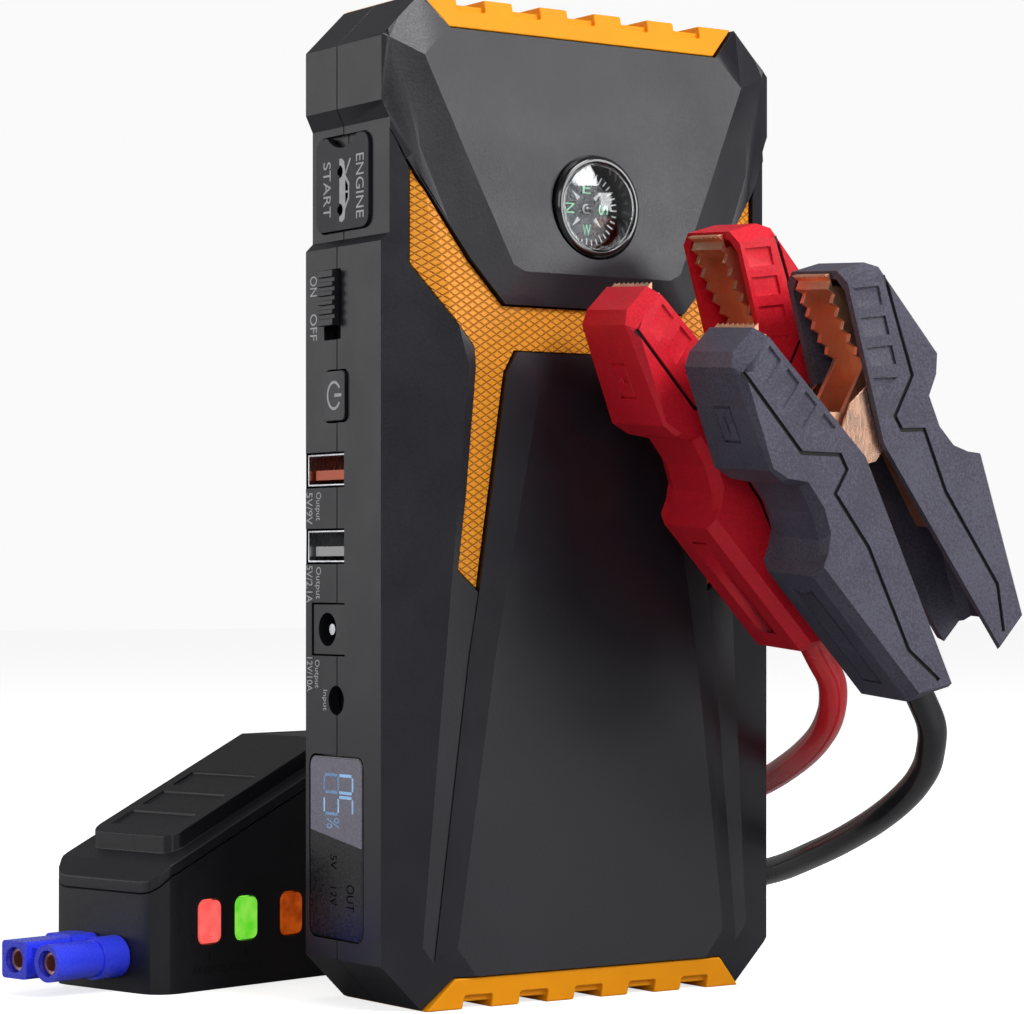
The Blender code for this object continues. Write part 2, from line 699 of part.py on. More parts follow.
def make_inlay():
    """The amber inlay, bent over the facets that it lies in."""
    solid = plate(offset(inlay_outline(), -INLAY_GAP), 2 * LOWER_PANEL_Y, 0)
    common(solid, crown(INLAY_DEPTH))
    cut(solid, crown(INLAY_DEPTH + INLAY_THICKNESS))
    return BENCH.piece(solid, "front_inlay", AMBER, 0.5)


def screw_places():
    """The four screws, as (x, z)."""
    rise = BUMPER_HEIGHT + SCREW_RISE
    return [(side * (HALF - SCREW_INSET), z) for z in (rise, PACK_HEIGHT - rise) for side in (-1, 1)]


def bosses(start, end):
    """The screw bosses between two depths."""
    return [rod((x, start, z), (x, end, z), SCREW_SHANK + RUNNING + BOSS_WALL) for x, z in screw_places()]


def screw_holes():
    """Holes and counterbores for the four screws."""
    tools = []
    for x, z in screw_places():
        tip = REAR_Y - SCREW_SINK - SCREW_LENGTH
        tools.append(rod((x, tip, z), (x, REAR_Y + THROUGH, z), SCREW_SHANK + RUNNING))
        tools.append(rod((x, REAR_Y - SCREW_SINK, z), (x, REAR_Y + THROUGH, z), SCREW_HEAD + RUNNING))
    return tools


def make_shells(fitting_tools):
    """Both halves of the case."""
    base = crown(0)
    channel = plate(offset(inlay_outline(), INLAY_GAP), 2 * LOWER_PANEL_Y, 0)
    cut(base, cut(channel, crown(INLAY_DEPTH + INLAY_THICKNESS + SEAT)))
    join(base, raised_panel(LOWER_PANEL_RIM, LOWER_PANEL_FACE, lower_panel_y),
         raised_panel(SHIELD_RIM, SHIELD_FACE, shield_y))
    common(base, plate(case_outline(), 2 * LOWER_PANEL_Y, SEAM_Y - SEAT / 2))
    x, y, z = LOW_CORNER_POINT
    for side in (-1, 1):
        cut(base, beyond((side * x, y, z), side * LOW_CORNER_SLOPE_X, -LOW_CORNER_SLOPE_Z))
    inner = FRONT_Y + CAVITY_FRONT
    cut(base, cavity(inner, SIDE_DEPTH),
        box((-POCKET_HALF, POCKET_FRONT_Y, POCKET_LOW_Z),
            (POCKET_HALF, inner + THROUGH, high(0, POCKET_DROP)[1])))
    join(base, *bosses(inner - WALL / 2, SEAM_Y - SEAT / 2))
    back = case_block(SEAM_Y + SEAT / 2)
    cut(back, cavity(-SIDE_DEPTH, REAR_Y - REAR_WALL))
    join(back, *bosses(SEAM_Y + SEAT / 2, REAR_Y - REAR_WALL / 2))
    ends = [plate(bumper_outline(top, SEAT), 2 * LOWER_PANEL_Y, SIDE_DEPTH) for top in (False, True)]
    for shell, name in ((base, "front_shell"), (back, "rear_shell")):
        cut(shell, *ends, *screw_holes(), *fitting_tools)
        BENCH.piece(shell, name, BLACK, 0.42)


def make_screws():
    """The four countersunk case screws, with a cross slot in each head."""
    for number, (x, z) in enumerate(screw_places(), start=1):
        seat = REAR_Y - SCREW_SINK + SEAT
        top = seat + SCREW_HEAD_HEIGHT
        solid = join(rod((x, seat, z), (x, top, z), SCREW_HEAD, sides=16),
                     rod((x, seat - SCREW_LENGTH, z), (x, seat + SEAT, z), SCREW_SHANK, sides=12))
        arm, slot = SCREW_HEAD * 0.6, SCREW_SHANK * 0.25
        for across, up in ((arm, slot), (slot, arm)):
            cut(solid, box((x - across, top - SCREW_HEAD_HEIGHT / 2, z - up),
                           (x + across, top + THROUGH, z + up)))
        BENCH.piece(solid, f"case_screw_{number}", STEEL, 0.35, 1.0)


# ---------------------------------------------------------------- fittings on the -X side
def spot(place):
    """A fitting's middle on the side face, as (y, z)."""
    return (place[0], place[1] * RECESS_LOW_Z)


def side_block(middle, size, start, end, corner=0.0, margin=0.0, name="block"):
    """A block with a rectangular face towards -X, from start to end along X."""
    return plate(rectangle(middle, size, corner, margin), start, end, "yz", name)


def side_rod(middle, start, end, radius, sides=24):
    """A round bar along X."""
    return rod((start, *middle), (end, *middle), radius, sides=sides)


def cover_middle():
    return (COVER_MIDDLE_Y, (RECESS_LOW_Z + RECESS_TOP_Z) / 2)


def make_socket_cover():
    """The rubber cover over the jump socket, hinged along its lower edge."""
    middle = cover_middle()
    outer = RECESS_X - COVER_PROUD
    inner = outer + COVER_THICKNESS
    solid = side_block(middle, COVER_SIZE, outer, inner, COVER_CORNER)
    radius = (THUMB_CHORD ** 2 / 4 + THUMB_DEPTH ** 2) / (2 * THUMB_DEPTH)
    thumb = (middle[0], middle[1] + COVER_SIZE[1] / 2 + radius - THUMB_DEPTH)
    cut(solid, side_rod(thumb, outer - THROUGH, inner + THROUGH, radius, 48))
    set_origin(solid, (outer, middle[0], middle[1] - COVER_SIZE[1] / 2))
    BENCH.piece(solid, "socket_cover", BLACK, 0.7)
    well = (JACK_SPACING + 2 * JACK_WELL, 2 * JACK_WELL)
    return [side_block(middle, COVER_SIZE, outer - THROUGH, inner + SEAT, COVER_CORNER, SEAT),
            side_block(middle, well, outer, INSIDE_X + RECESS_DEPTH, JACK_WELL - SEAT)]


def make_jump_socket():
    """The two-well jump socket behind its cover, and its two contact pins."""
    middle = cover_middle()
    front = INSIDE_X + RECESS_DEPTH
    back = front + JACK_LENGTH
    size = (JACK_SPACING + 2 * (JACK_WELL + JACK_WALL), 2 * (JACK_WELL + JACK_WALL))
    solid = side_block(middle, size, front, back)
    for side, name in ((-1, "jump_contact_negative"), (1, "jump_contact_positive")):
        well = (middle[0] + side * JACK_SPACING / 2, middle[1])
        floor = back - JACK_BACK
        cut(solid, side_rod(well, front - THROUGH, floor, JACK_WELL),
            side_rod(well, floor - THROUGH, back + THROUGH, CONTACT_RADIUS + SEAT))
        pin = side_rod(well, back + THROUGH - CONTACT_LENGTH, back + THROUGH, CONTACT_RADIUS)
        BENCH.piece(pin, name, COPPER, 0.3, 1.0)
    BENCH.piece(solid, "jump_socket", BLUE, 0.4)


def make_switch():
    """The sliding output switch: its ribbed knob at ON, and the body behind the wall."""
    middle = spot(KNOB_PLACE)
    outer = LEFT_X - KNOB_PROUD
    inner = LEFT_X + KNOB_REACH
    knob = side_block(middle, KNOB_SIZE, outer, inner)
    pitch = KNOB_SIZE[1] / KNOB_RIBS
    for index in range(1, KNOB_RIBS):
        z = middle[1] - KNOB_SIZE[1] / 2 + index * pitch
        cut(knob, box((outer - THROUGH, middle[0] - KNOB_SIZE[0], z - pitch / 4),
                      (outer + KNOB_GROOVE, middle[0] + KNOB_SIZE[0], z + pitch / 4)))
    join(knob, side_block(middle, STEM_SIZE, inner - SEAT, INSIDE_X + STEM_REACH))
    set_origin(knob, (LEFT_X, *middle))
    BENCH.piece(knob, "switch_knob", BLACK, 0.5)
    track = (middle[0], middle[1] - SWITCH_TRAVEL / 2)
    body = side_block(track, SWITCH_BODY, INSIDE_X, INSIDE_X + SWITCH_BODY_DEPTH)
    cut(body, side_block(track, (STEM_SIZE[0], STEM_SIZE[1] + SWITCH_TRAVEL), INSIDE_X - THROUGH,
                         INSIDE_X + STEM_REACH + RUNNING, margin=RUNNING))
    BENCH.piece(body, "switch_body", DARK, 0.5)
    return [side_block(track, (KNOB_SIZE[0], KNOB_SIZE[1] + SWITCH_TRAVEL), LEFT_X - THROUGH,
                       INSIDE_X, margin=RUNNING)]


def make_power_button():
    """The power button, kept in by its flange, and the switch that it presses."""
    middle = spot(BUTTON_PLACE)
    back = INSIDE_X + BUTTON_FLANGE
    solid = side_block(middle, BUTTON_SIZE, LEFT_X - BUTTON_PROUD, back, BUTTON_CORNER)
    join(solid, side_block(middle, BUTTON_SIZE, INSIDE_X, back + SEAT / 3, BUTTON_CORNER, BUTTON_FLANGE))
    set_origin(solid, (LEFT_X, *middle))
    BENCH.piece(solid, "power_button", BLACK, 0.4)
    tact = back + BUTTON_TRAVEL + SEAT
    switch = side_block(middle, (TACT_SIZE, TACT_SIZE), tact, tact + TACT_HEIGHT)
    BENCH.piece(switch, "tact_switch", DARK, 0.4)
    return [side_block(middle, BUTTON_SIZE, LEFT_X - THROUGH, INSIDE_X, BUTTON_CORNER, RUNNING)]


def make_usb(name, place):
    """One USB-A socket: its metal shell and the plastic tongue in it."""
    middle = spot(place)
    front = LEFT_X + USB_SINK
    back = front + USB_LENGTH
    shell = side_block(middle, USB_SIZE, front, back)
    cut(shell, side_block(middle, USB_SIZE, front - THROUGH, back - USB_SKIN, margin=-USB_SKIN))
    BENCH.piece(shell, f"{name}_shell", STEEL, 0.25, 1.0)
    block_back = back - USB_SKIN - SEAT
    block_front = front + TONGUE_SETBACK + TONGUE_LENGTH
    tongue = side_block(middle, USB_SIZE, block_front, block_back, margin=-USB_SKIN - SEAT)
    join(tongue, side_block((middle[0], middle[1] - TONGUE_DROP), TONGUE_SIZE,
                            front + TONGUE_SETBACK, block_front + SEAT))
    colour = (0.75, 0.12, 0.02) if name == "quick_usb" else (0.62, 0.62, 0.60)
    BENCH.piece(tongue, f"{name}_tongue", colour, 0.5)
    return [side_block(middle, USB_SIZE, LEFT_X - THROUGH, INSIDE_X, margin=SEAT)]


def make_outlet():
    """The square DC output jack with its centre pin."""
    middle = spot(OUTLET_PLACE)
    bore = (middle[0] + OUTLET_BORE_OFFSET, middle[1])
    front = LEFT_X + OUTLET_SINK
    back = front + OUTLET_LENGTH
    solid = side_block(middle, OUTLET_SIZE, front, back)
    cut(solid, side_rod(bore, front - THROUGH, front + OUTLET_BORE_DEPTH, OUTLET_BORE),
        side_rod(bore, front, back + THROUGH, OUTLET_PIN + SEAT))
    BENCH.piece(solid, "dc_output_jack", DARK, 0.45)
    BENCH.piece(side_rod(bore, front + OUTLET_PIN, back, OUTLET_PIN, 16), "dc_output_pin", STEEL, 0.25, 1.0)
    return [side_block(middle, OUTLET_SIZE, LEFT_X - THROUGH, INSIDE_X, margin=SEAT)]


def make_inlet():
    """The small DC charging jack behind its round hole."""
    middle = spot(INLET_PLACE)
    front = INSIDE_X
    solid = side_block(middle, INLET_SIZE, front, front + INLET_LENGTH)
    cut(solid, side_rod(middle, front - THROUGH, front + INLET_BORE_DEPTH, INLET_BORE))
    BENCH.piece(solid, "dc_input_jack", DARK, 0.45)
    return [side_rod(middle, LEFT_X - THROUGH, INSIDE_X, INLET_WALL_BORE)]


def make_display():
    """The display: its window in the wall and the module behind it."""
    middle = spot(WINDOW_PLACE)
    floor = LEFT_X + WINDOW_THICKNESS + SEAT
    window = side_block(middle, WINDOW_SIZE, LEFT_X, LEFT_X + WINDOW_THICKNESS, WINDOW_CORNER)
    BENCH.piece(window, "display_window", (0.30, 0.30, 0.36), 0.08)
    module = side_block(middle, WINDOW_SIZE, floor, floor + DISPLAY_DEPTH, margin=-WINDOW_LEDGE - SEAT)
    BENCH.piece(module, "display_module", (0.05, 0.05, 0.06), 0.4)
    return [side_block(middle, WINDOW_SIZE, LEFT_X - THROUGH, floor, WINDOW_CORNER, SEAT),
            side_block(middle, WINDOW_SIZE, LEFT_X, INSIDE_X, margin=-WINDOW_LEDGE)]


# ---------------------------------------------------------------- compass
def make_compass():
    """The compass in the shield: bezel and cup, card on its pivot, and the clear dome."""
    place = (0, 0, PACK_HEIGHT - COMPASS_DROP)
    bezel_back = BEZEL_FRONT_Y + BEZEL_THICKNESS
    cup_back = bezel_back + CUP_DEPTH
    floor = cup_back - CUP_WALL
    bore = CUP_RADIUS - CUP_WALL
    ledge = BEZEL_FRONT_Y + DOME_SEAT
    socket = DOME_RADIUS + SEAT
    cup = turned([(0, cup_back), (CUP_RADIUS, cup_back), (CUP_RADIUS, bezel_back),
                  (BEZEL_RADIUS, bezel_back), (BEZEL_RADIUS, BEZEL_FRONT_Y + BEZEL_BEVEL),
                  (BEZEL_RADIUS - BEZEL_BEVEL, BEZEL_FRONT_Y), (socket, BEZEL_FRONT_Y),
                  (socket, ledge), (bore, ledge), (bore, floor), (0, floor)], place, 40)
    BENCH.piece(cup, "compass_cup", DARK, 0.25)
    rim = ledge - SEAT
    steps = [DOME_RADIUS * step / 6 for step in range(7)]
    inside = [(r, rim - DOME_RISE * (1 - (r / DOME_RADIUS) ** 2)) for r in steps]
    outside = [(r, y - DOME_THICKNESS) for r, y in reversed(inside)]
    BENCH.piece(turned(inside + outside, place, 40), "compass_dome", (0.8, 0.82, 0.85), 0.05)
    card = floor - CARD_HEIGHT
    face = card - CARD_THICKNESS
    BENCH.piece(turned([(CARD_BORE, card), (CARD_RADIUS, card), (CARD_RADIUS, face), (CARD_BORE, face),
                        (CARD_BORE, card)], place, 40), "compass_card", DARK, 0.5)
    foot = floor - SEAT
    step = foot - CARD_HEIGHT / 3
    tip = face - CARD_THICKNESS
    pivot = turned([(0, foot), (PIVOT_FOOT, foot), (PIVOT_FOOT, step), (PIVOT_RADIUS, step),
                    (PIVOT_RADIUS, tip), (0, tip - PIVOT_RADIUS)], place, 16)
    BENCH.piece(pivot, "compass_pivot", STEEL, 0.3, 1.0)
    x, _, z = place
    return [rod((x, 2 * LOWER_PANEL_Y, z), (x, bezel_back + SEAT, z), BEZEL_RADIUS + SEAT, sides=48),
            rod((x, 2 * LOWER_PANEL_Y, z), (x, 0, z), CUP_RADIUS + SEAT, sides=48)]


# ---------------------------------------------------------------- inside the pack
def make_boards_and_cells():
    """The main board, the cell tray with its cells, and the protection board above it."""
    board_back = spot(OUTLET_PLACE)[0] - OUTLET_SIZE[0] / 2 - BOARD_GAP
    board_low = spot(INLET_PLACE)[1] - INLET_SIZE[1] / 2 - BOARD_MARGIN
    board_high = spot(KNOB_PLACE)[1] - SWITCH_TRAVEL / 2 + SWITCH_BODY[1] / 2 + BOARD_MARGIN
    board_end = INSIDE_X + BOARD_REACH
    board = box((INSIDE_X + BOARD_EDGE, board_back - BOARD_THICKNESS, board_low),
                (board_end, board_back, board_high))
    BENCH.piece(board, "main_board", BOARD_GREEN, 0.5)

    floor = BUMPER_HEIGHT + SEAT + WALL
    front, back = FRONT_Y + CAVITY_FRONT, REAR_Y - REAR_WALL
    left, right = board_end + TRAY_GAP, HALF - WALL - SEAT
    bottom, top = floor + TRAY_RISE, PACK_HEIGHT - TRAY_DROP
    tray = box((left, front + SEAT, bottom), (right, back - SEAT, top))
    cut(tray, box((left + TRAY_WALL, front - THROUGH, bottom + TRAY_WALL),
                  (right - TRAY_WALL, back + THROUGH, top - TRAY_WALL)))
    BENCH.piece(tray, "cell_tray", (0.30, 0.30, 0.31), 0.6)
    inset = TRAY_WALL + SEAT
    thickness = (back - front - (CELLS + 1) * SEAT) / CELLS
    for number in range(CELLS):
        start = front + SEAT + number * (thickness + SEAT)
        cell = box((left + inset, start, bottom + inset), (right - inset, start + thickness, top - inset))
        soft = cell.modifiers.new("soft edges", "BEVEL")
        soft.width = thickness / 5
        soft.segments = 2
        BENCH.piece(cell, f"battery_cell_{number + 1}", CELL_SILVER, 0.35, 0.6)

    guard_back = back - GUARD_BACK
    guard = box((GUARD_LEFT_X, guard_back - GUARD_THICKNESS, top + SEAT),
                (HALF - RECESS_DEPTH - WALL - SEAT, guard_back, top + SEAT + GUARD_HEIGHT))
    BENCH.piece(guard, "protection_board", BOARD_GREEN, 0.5)


# ---------------------------------------------------------------- smart module
def module_top(drop, run=0.0):
    """The module's top line from the plug's end, lowered by drop and run on past both ends."""
    step = MODULE_RAMP_STEP / MODULE_RAMP_START
    return [(-run, MODULE_LOW - step * run - drop),
            (MODULE_RAMP_START, MODULE_LOW + MODULE_RAMP_STEP - drop),
            (MODULE_RAMP_END, MODULE_HIGH - drop), (MODULE_LENGTH + run, MODULE_HIGH - drop)]


def module_slice(top, bottom, inset, corner):
    """The part of the module between two of its lines, with its sides moved in by inset."""
    solid = plate(bottom + list(reversed(top)), -THROUGH, MODULE_WIDTH + THROUGH)
    middle = (MODULE_LENGTH / 2, MODULE_WIDTH / 2)
    plan = rectangle(middle, (MODULE_LENGTH, MODULE_WIDTH), corner, -inset)
    return common(solid, plate(plan, -THROUGH, MODULE_HIGH + 2 * PAD_RISE, "xy"))


def level(height, run=THROUGH):
    """A level line along the module."""
    return [(-run, height), (MODULE_LENGTH + run, height)]


def plug_poles():
    """The middles of the plug's round and square barrels, as (across, height)."""
    across, height = PLUG_CENTRE
    return (across - PLUG_SPACING / 2, height), (across + PLUG_SPACING / 2, height)


def plug_body(start, end, grow):
    """The plug's round barrel, square barrel and the web between them, grown by a margin."""
    round_pole, square_pole = plug_poles()
    size = (2 * PLUG_BARREL, 2 * PLUG_BARREL)
    web = (PLUG_SPACING, 2 * PLUG_BORE)
    return [side_rod(round_pole, start, end, PLUG_BARREL + grow),
            side_block(square_pole, size, start, end, PLUG_CORNER, grow),
            side_block(PLUG_CENTRE, web, start + PLUG_WEB_SINK, end - grow, margin=grow / 2)]


def make_lamp(name, start, colour):
    """One indicator lamp, held in its window by a flange."""
    middle = (start + LAMP_SIZE[0] / 2, LAMP_LOW_Z + LAMP_SIZE[1] / 2)
    inside = MODULE_WALL + SEAT
    lens = plate(rectangle(middle, LAMP_SIZE, LAMP_CORNER), -LAMP_PROUD, LAMP_REACH)
    join(lens, plate(rectangle(middle, LAMP_SIZE, LAMP_CORNER, LAMP_FLANGE), inside, inside + LAMP_FLANGE))
    BENCH.piece(lens, name, colour, 0.25)
    return plate(rectangle(middle, LAMP_SIZE, LAMP_CORNER, SEAT), -THROUGH, inside)


def make_plug():
    """The two-pole plug at the low end of the module, with its two contact sleeves."""
    inner = MODULE_WALL + PLUG_TAIL
    body = join(*plug_body(-PLUG_LENGTH, inner, 0.0))
    join(body, *plug_body(-PLUG_COLLAR_LENGTH - PLUG_WEB_SINK, -SEAT, PLUG_COLLAR))
    for pole, name in zip(plug_poles(), ("plug_contact_positive", "plug_contact_negative")):
        cut(body, side_rod(pole, -PLUG_LENGTH - THROUGH, inner + THROUGH, PLUG_BORE))
        front = -PLUG_LENGTH + PLUG_CONTACT_SINK
        outer = PLUG_BORE - SEAT
        sleeve = side_rod(pole, front, inner, outer)
        cut(sleeve, side_rod(pole, front - THROUGH, -SEAT, outer - PLUG_CONTACT_WALL))
        BENCH.piece(sleeve, name, COPPER, 0.3, 1.0)
    BENCH.piece(body, "module_plug", BLUE, 0.35)
    return plug_body(-2 * PLUG_WEB_SINK, MODULE_WALL + THROUGH, SEAT)


def make_module():
    """The smart module: case, cover, board, lamps and plug."""
    tools = [make_lamp(f"module_light_{name}", start, LAMP_COLOURS[name])
             for name, start in LAMP_STARTS.items()]
    tools += make_plug()
    for across in LEAD_ENTRIES.values():
        tools.append(rod((MODULE_LENGTH - 2 * MODULE_WALL, across, LEAD_ENTRY_Z),
                         (MODULE_LENGTH + THROUGH, across, LEAD_ENTRY_Z), LEAD_RADIUS + SEAT))
    rim = LID_THICKNESS + SEAT
    case = module_slice(module_top(rim, THROUGH), level(0), 0, MODULE_CORNER)
    cut(case, module_slice(module_top(0, THROUGH), level(MODULE_WALL), MODULE_WALL, MODULE_CORNER), *tools)
    BENCH.piece(case, "module_case", BLACK, 0.5)
    cover = module_slice(module_top(0, THROUGH), module_top(LID_THICKNESS, THROUGH), 0, MODULE_CORNER)
    pad_length = MODULE_LENGTH - PAD_START - PAD_INSET
    pad_middle = (PAD_START + pad_length / 2, MODULE_WIDTH / 2)
    pad_size = (pad_length, MODULE_WIDTH - 2 * PAD_INSET)
    line = module_top(-PAD_RISE, THROUGH)
    pad = plate(module_top(LID_THICKNESS / 2, THROUGH) + list(reversed(line)), 0, MODULE_WIDTH)
    join(cover, common(pad, plate(rectangle(pad_middle, pad_size, PAD_CORNER), 0, 2 * MODULE_HIGH, "xy")))
    slope = (MODULE_HIGH - MODULE_LOW - MODULE_RAMP_STEP) / (MODULE_RAMP_END - MODULE_RAMP_START)
    for index in range(GRIPS):
        start = PAD_START + GRIP_START + index * GRIP_PITCH
        floor = MODULE_LOW + MODULE_RAMP_STEP + PAD_RISE - GRIP_DEPTH + slope * (start - MODULE_RAMP_START)
        rise = slope * GRIP_LENGTH
        hollow = [(start, floor), (start + GRIP_LENGTH, floor + rise),
                  (start + GRIP_LENGTH, floor + rise + PAD_RISE), (start, floor + PAD_RISE)]
        side = PAD_INSET + GRIP_INSET
        cut(cover, plate(hollow, side, MODULE_WIDTH - side))
    x, y = SLOT_PLACE
    top = MODULE_HIGH + PAD_RISE
    cut(cover, box((x, y, top - SLOT_DEPTH), (x + SLOT_SIZE[0], y + SLOT_SIZE[1], top + THROUGH)))
    BENCH.piece(cover, "module_cover", BLACK, 0.5)
    length, width, thickness = MODULE_BOARD
    floor = MODULE_WALL + SEAT
    low_y = (MODULE_WIDTH - width) / 2
    board = box((MODULE_BOARD_START, low_y, floor),
                (MODULE_BOARD_START + length, low_y + width, floor + thickness))
    BENCH.piece(board, "module_board", BOARD_GREEN, 0.5)


# ---------------------------------------------------------------- clamps
def half_turn(fixed):
    """How a half is turned as it stands, from its place with the jaws closed."""
    return Matrix.Rotation(math.radians(SHOWN_OPENING / 2 if fixed else -SHOWN_OPENING / 2), 4, "Z")


def side_plate(outline, start, end, fixed):
    """A side outline (along, away) made solid across the clamp, on its own side of it and turned."""
    flip = -1 if fixed else 1
    points = [(along, flip * away) for along, away in outline]
    solid = plate(points, start, end, "xy")
    solid.data.transform(half_turn(fixed))
    return solid


def grip_outline(points):
    """The whole side outline of a grip through points on its outer side, anticlockwise from its tip."""
    outer = [(along, away + GRIP_GAP) for along, away in points]
    return [outer[0], (GRIP_KNEE, GRIP_GAP)] + list(reversed(outer[1:]))


def channel(outline):
    """The room inside a grip's outline, open towards the other half and at the handle's end."""
    inner = offset(outline, -GRIP_WALL)
    end, heel = inner[2], inner[3]
    return [(inner[0][0], -THROUGH), (GRIP_KNEE, -THROUGH), (end[0] + 2 * THROUGH, end[1] - 2 * THROUGH),
            (heel[0] + 2 * THROUGH, heel[1])] + inner[3:]


def bevelled(crown, side, crown_reach, side_reach, fixed):
    """A solid with flat sides and a bevel all round each, on its own side of the clamp and turned."""
    flip = -1 if fixed else 1
    rings = []
    for outline, reaches, sign in ((side, side_reach, -1), (crown, crown_reach, -1),
                                   (crown, crown_reach, 1), (side, side_reach, 1)):
        rings.append([(along, flip * away, sign * reach)
                      for (along, away), reach in zip(outline, reaches)])
    solid = loft(rings)
    solid.data.transform(half_turn(fixed))
    return solid


def make_grip(name, fixed, colour):
    """One moulded grip: a channel open towards the other half and at the handle's end."""
    half = CLAMP_WIDTH / 2
    crown = grip_outline([point[:2] for point in GRIP_CROWN])
    side = grip_outline(GRIP_SIDE)
    reach = [point[2] for point in GRIP_CROWN]
    reach = [reach[0], reach[0]] + list(reversed(reach[1:]))
    solid = bevelled(crown, side, reach, [half] * len(side), fixed)
    reach = [reach[0], reach[0], reach[2], reach[3]] + reach[3:]
    room = bevelled(channel(crown), channel(side), [here - GRIP_WALL / 2 for here in reach],
                    [half - GRIP_WALL] * len(reach), fixed)
    BENCH.piece(cut(solid, room), f"{name}_grip", colour, 0.55)


def edge_away(along):
    """How far the line of the teeth's tips lies from the pin's axis."""
    for (start, low), (end, high) in zip(JAW_EDGE, JAW_EDGE[1:]):
        if along <= end:
            return low + (high - low) * (along - start) / (end - start)
    return JAW_EDGE[-1][1]


def jaw_outline():
    """The side outline of a jaw with its teeth and its ear round the pin, anticlockwise."""
    teeth = []
    along = -JAW_TIP
    while along < JAW_EDGE[-1][0] - TOOTH_PITCH / 2:
        teeth += [(along, edge_away(along)),
                  (along + TOOTH_PITCH / 2, edge_away(along + TOOTH_PITCH / 2) + TOOTH_DEPTH)]
        along += TOOTH_PITCH
    ear = arc((0, 0), EAR_RADIUS, 200, 400, 8)
    step = GRIP_GAP - SEAT
    return teeth + [JAW_EDGE[-1]] + ear + [(-JAW_NECK, JAW_BACK), (-JAW_SHOULDER, JAW_BACK),
                                           (-JAW_STEP, step + JAW_SKIN), (-JAW_STEP, step),
                                           (-JAW_TIP, step)]


def front_comb(fixed):
    """The cutter of the small teeth across a jaw's front wall."""
    flip = -1 if fixed else 1
    low = JAW_EDGE[0][1]
    count = math.ceil(JAW_WIDTH / FRONT_PITCH) + 1
    start = -count * FRONT_PITCH / 2
    line = [(-THROUGH, start)]
    for tooth in range(count):
        across = start + tooth * FRONT_PITCH
        line += [(low + FRONT_DEPTH, across), (low, across + FRONT_PITCH / 2)]
    line += [(low + FRONT_DEPTH, -start), (-THROUGH, -start)]
    comb = plate([(flip * away, across) for away, across in line],
                 -JAW_TIP - THROUGH, -JAW_TIP + JAW_SKIN + TOOTH_DEPTH / 2, "yz")
    comb.data.transform(half_turn(fixed))
    return comb


def make_jaw(name, fixed):
    """One folded copper jaw: toothed side walls, a back, and a strip along the handle."""
    half = JAW_WIDTH / 2 - (0 if fixed else JAW_SKIN + RUNNING)
    solid = side_plate(jaw_outline(), -half, half, fixed)
    back = JAW_BACK - JAW_SKIN
    floor = -EAR_RADIUS - THROUGH
    room = [(-JAW_TIP + JAW_SKIN, floor), (-floor, floor), (-floor, back),
            (-JAW_SHOULDER + JAW_SKIN / 2, back), (-JAW_STEP, GRIP_GAP - SEAT - JAW_SKIN),
            (-JAW_TIP + JAW_SKIN, GRIP_GAP - SEAT - JAW_SKIN)]
    cut(solid, side_plate(room, JAW_SKIN - half, half - JAW_SKIN, fixed))
    cut(solid, front_comb(fixed))
    thin = JAW_SKIN / 10
    strip = [(-2 * JAW_NECK, back + thin), (-JAW_NECK, back + thin), (TAIL_END, back + TAIL_RISE),
             (TAIL_END - thin, JAW_BACK + TAIL_RISE - 2 * thin), (-JAW_NECK - thin, JAW_BACK - thin),
             (-2 * JAW_NECK, JAW_BACK - thin)]
    join(solid, side_plate(strip, 2 * thin - half, half - 2 * thin, fixed))
    cut(solid, rod((0, 0, -CLAMP_WIDTH), (0, 0, CLAMP_WIDTH), PIN_RADIUS + RUNNING, sides=16))
    BENCH.piece(solid, f"{name}_jaw", COPPER, 0.3, 1.0)


def make_hinge(colour):
    """The hinge pin between its two heads, and the spring coiled round it."""
    reach = JAW_WIDTH / 2 + SEAT
    pin = rod((0, 0, -reach), (0, 0, reach), PIN_RADIUS, sides=16)
    for side in (-1, 1):
        inner, outer = side * (reach - SEAT / 2), side * (reach + PIN_HEAD_THICKNESS)
        join(pin, rod((0, 0, inner + side * SEAT / 2), (0, 0, outer), PIN_HEAD, sides=16))
    BENCH.piece(pin, f"{colour}_hinge_pin", STEEL, 0.3, 1.0)
    first = math.radians(90 + SPRING_ANGLES[0])
    last = math.radians(SPRING_ANGLES[1] - 90 + 360 * SPRING_TURNS)
    steps = 12 * SPRING_TURNS
    points = []
    for step in range(steps + 1):
        angle = first + (last - first) * step / steps
        rise = SPRING_PITCH * SPRING_TURNS * (step / steps - 0.5)
        points.append(Vector((SPRING_RADIUS * math.cos(angle), SPRING_RADIUS * math.sin(angle), rise)))
    for end, degrees in ((0, SPRING_ANGLES[0]), (-1, SPRING_ANGLES[1])):
        leg = Vector((math.cos(math.radians(degrees)), math.sin(math.radians(degrees)), 0)) * SPRING_LEG
        points.insert(0 if end == 0 else len(points), points[end] + leg)
    BENCH.piece(tube(points, SPRING_WIRE, "spring", 1), f"{colour}_spring", STEEL, 0.3, 1.0)


def make_clamp(colour, paint):
    """One clamp: two grips with their jaws, the pin and the spring."""
    BENCH.carrier = BENCH.empty(f"{colour}_clamp", CLAMP_PLACES[colour], CLAMP_TURN)
    for side, fixed in (("fixed", True), ("moving", False)):
        make_grip(f"{colour}_{side}", fixed, paint)
        make_jaw(f"{colour}_{side}", fixed)
    make_hinge(colour)
    BENCH.carrier = None


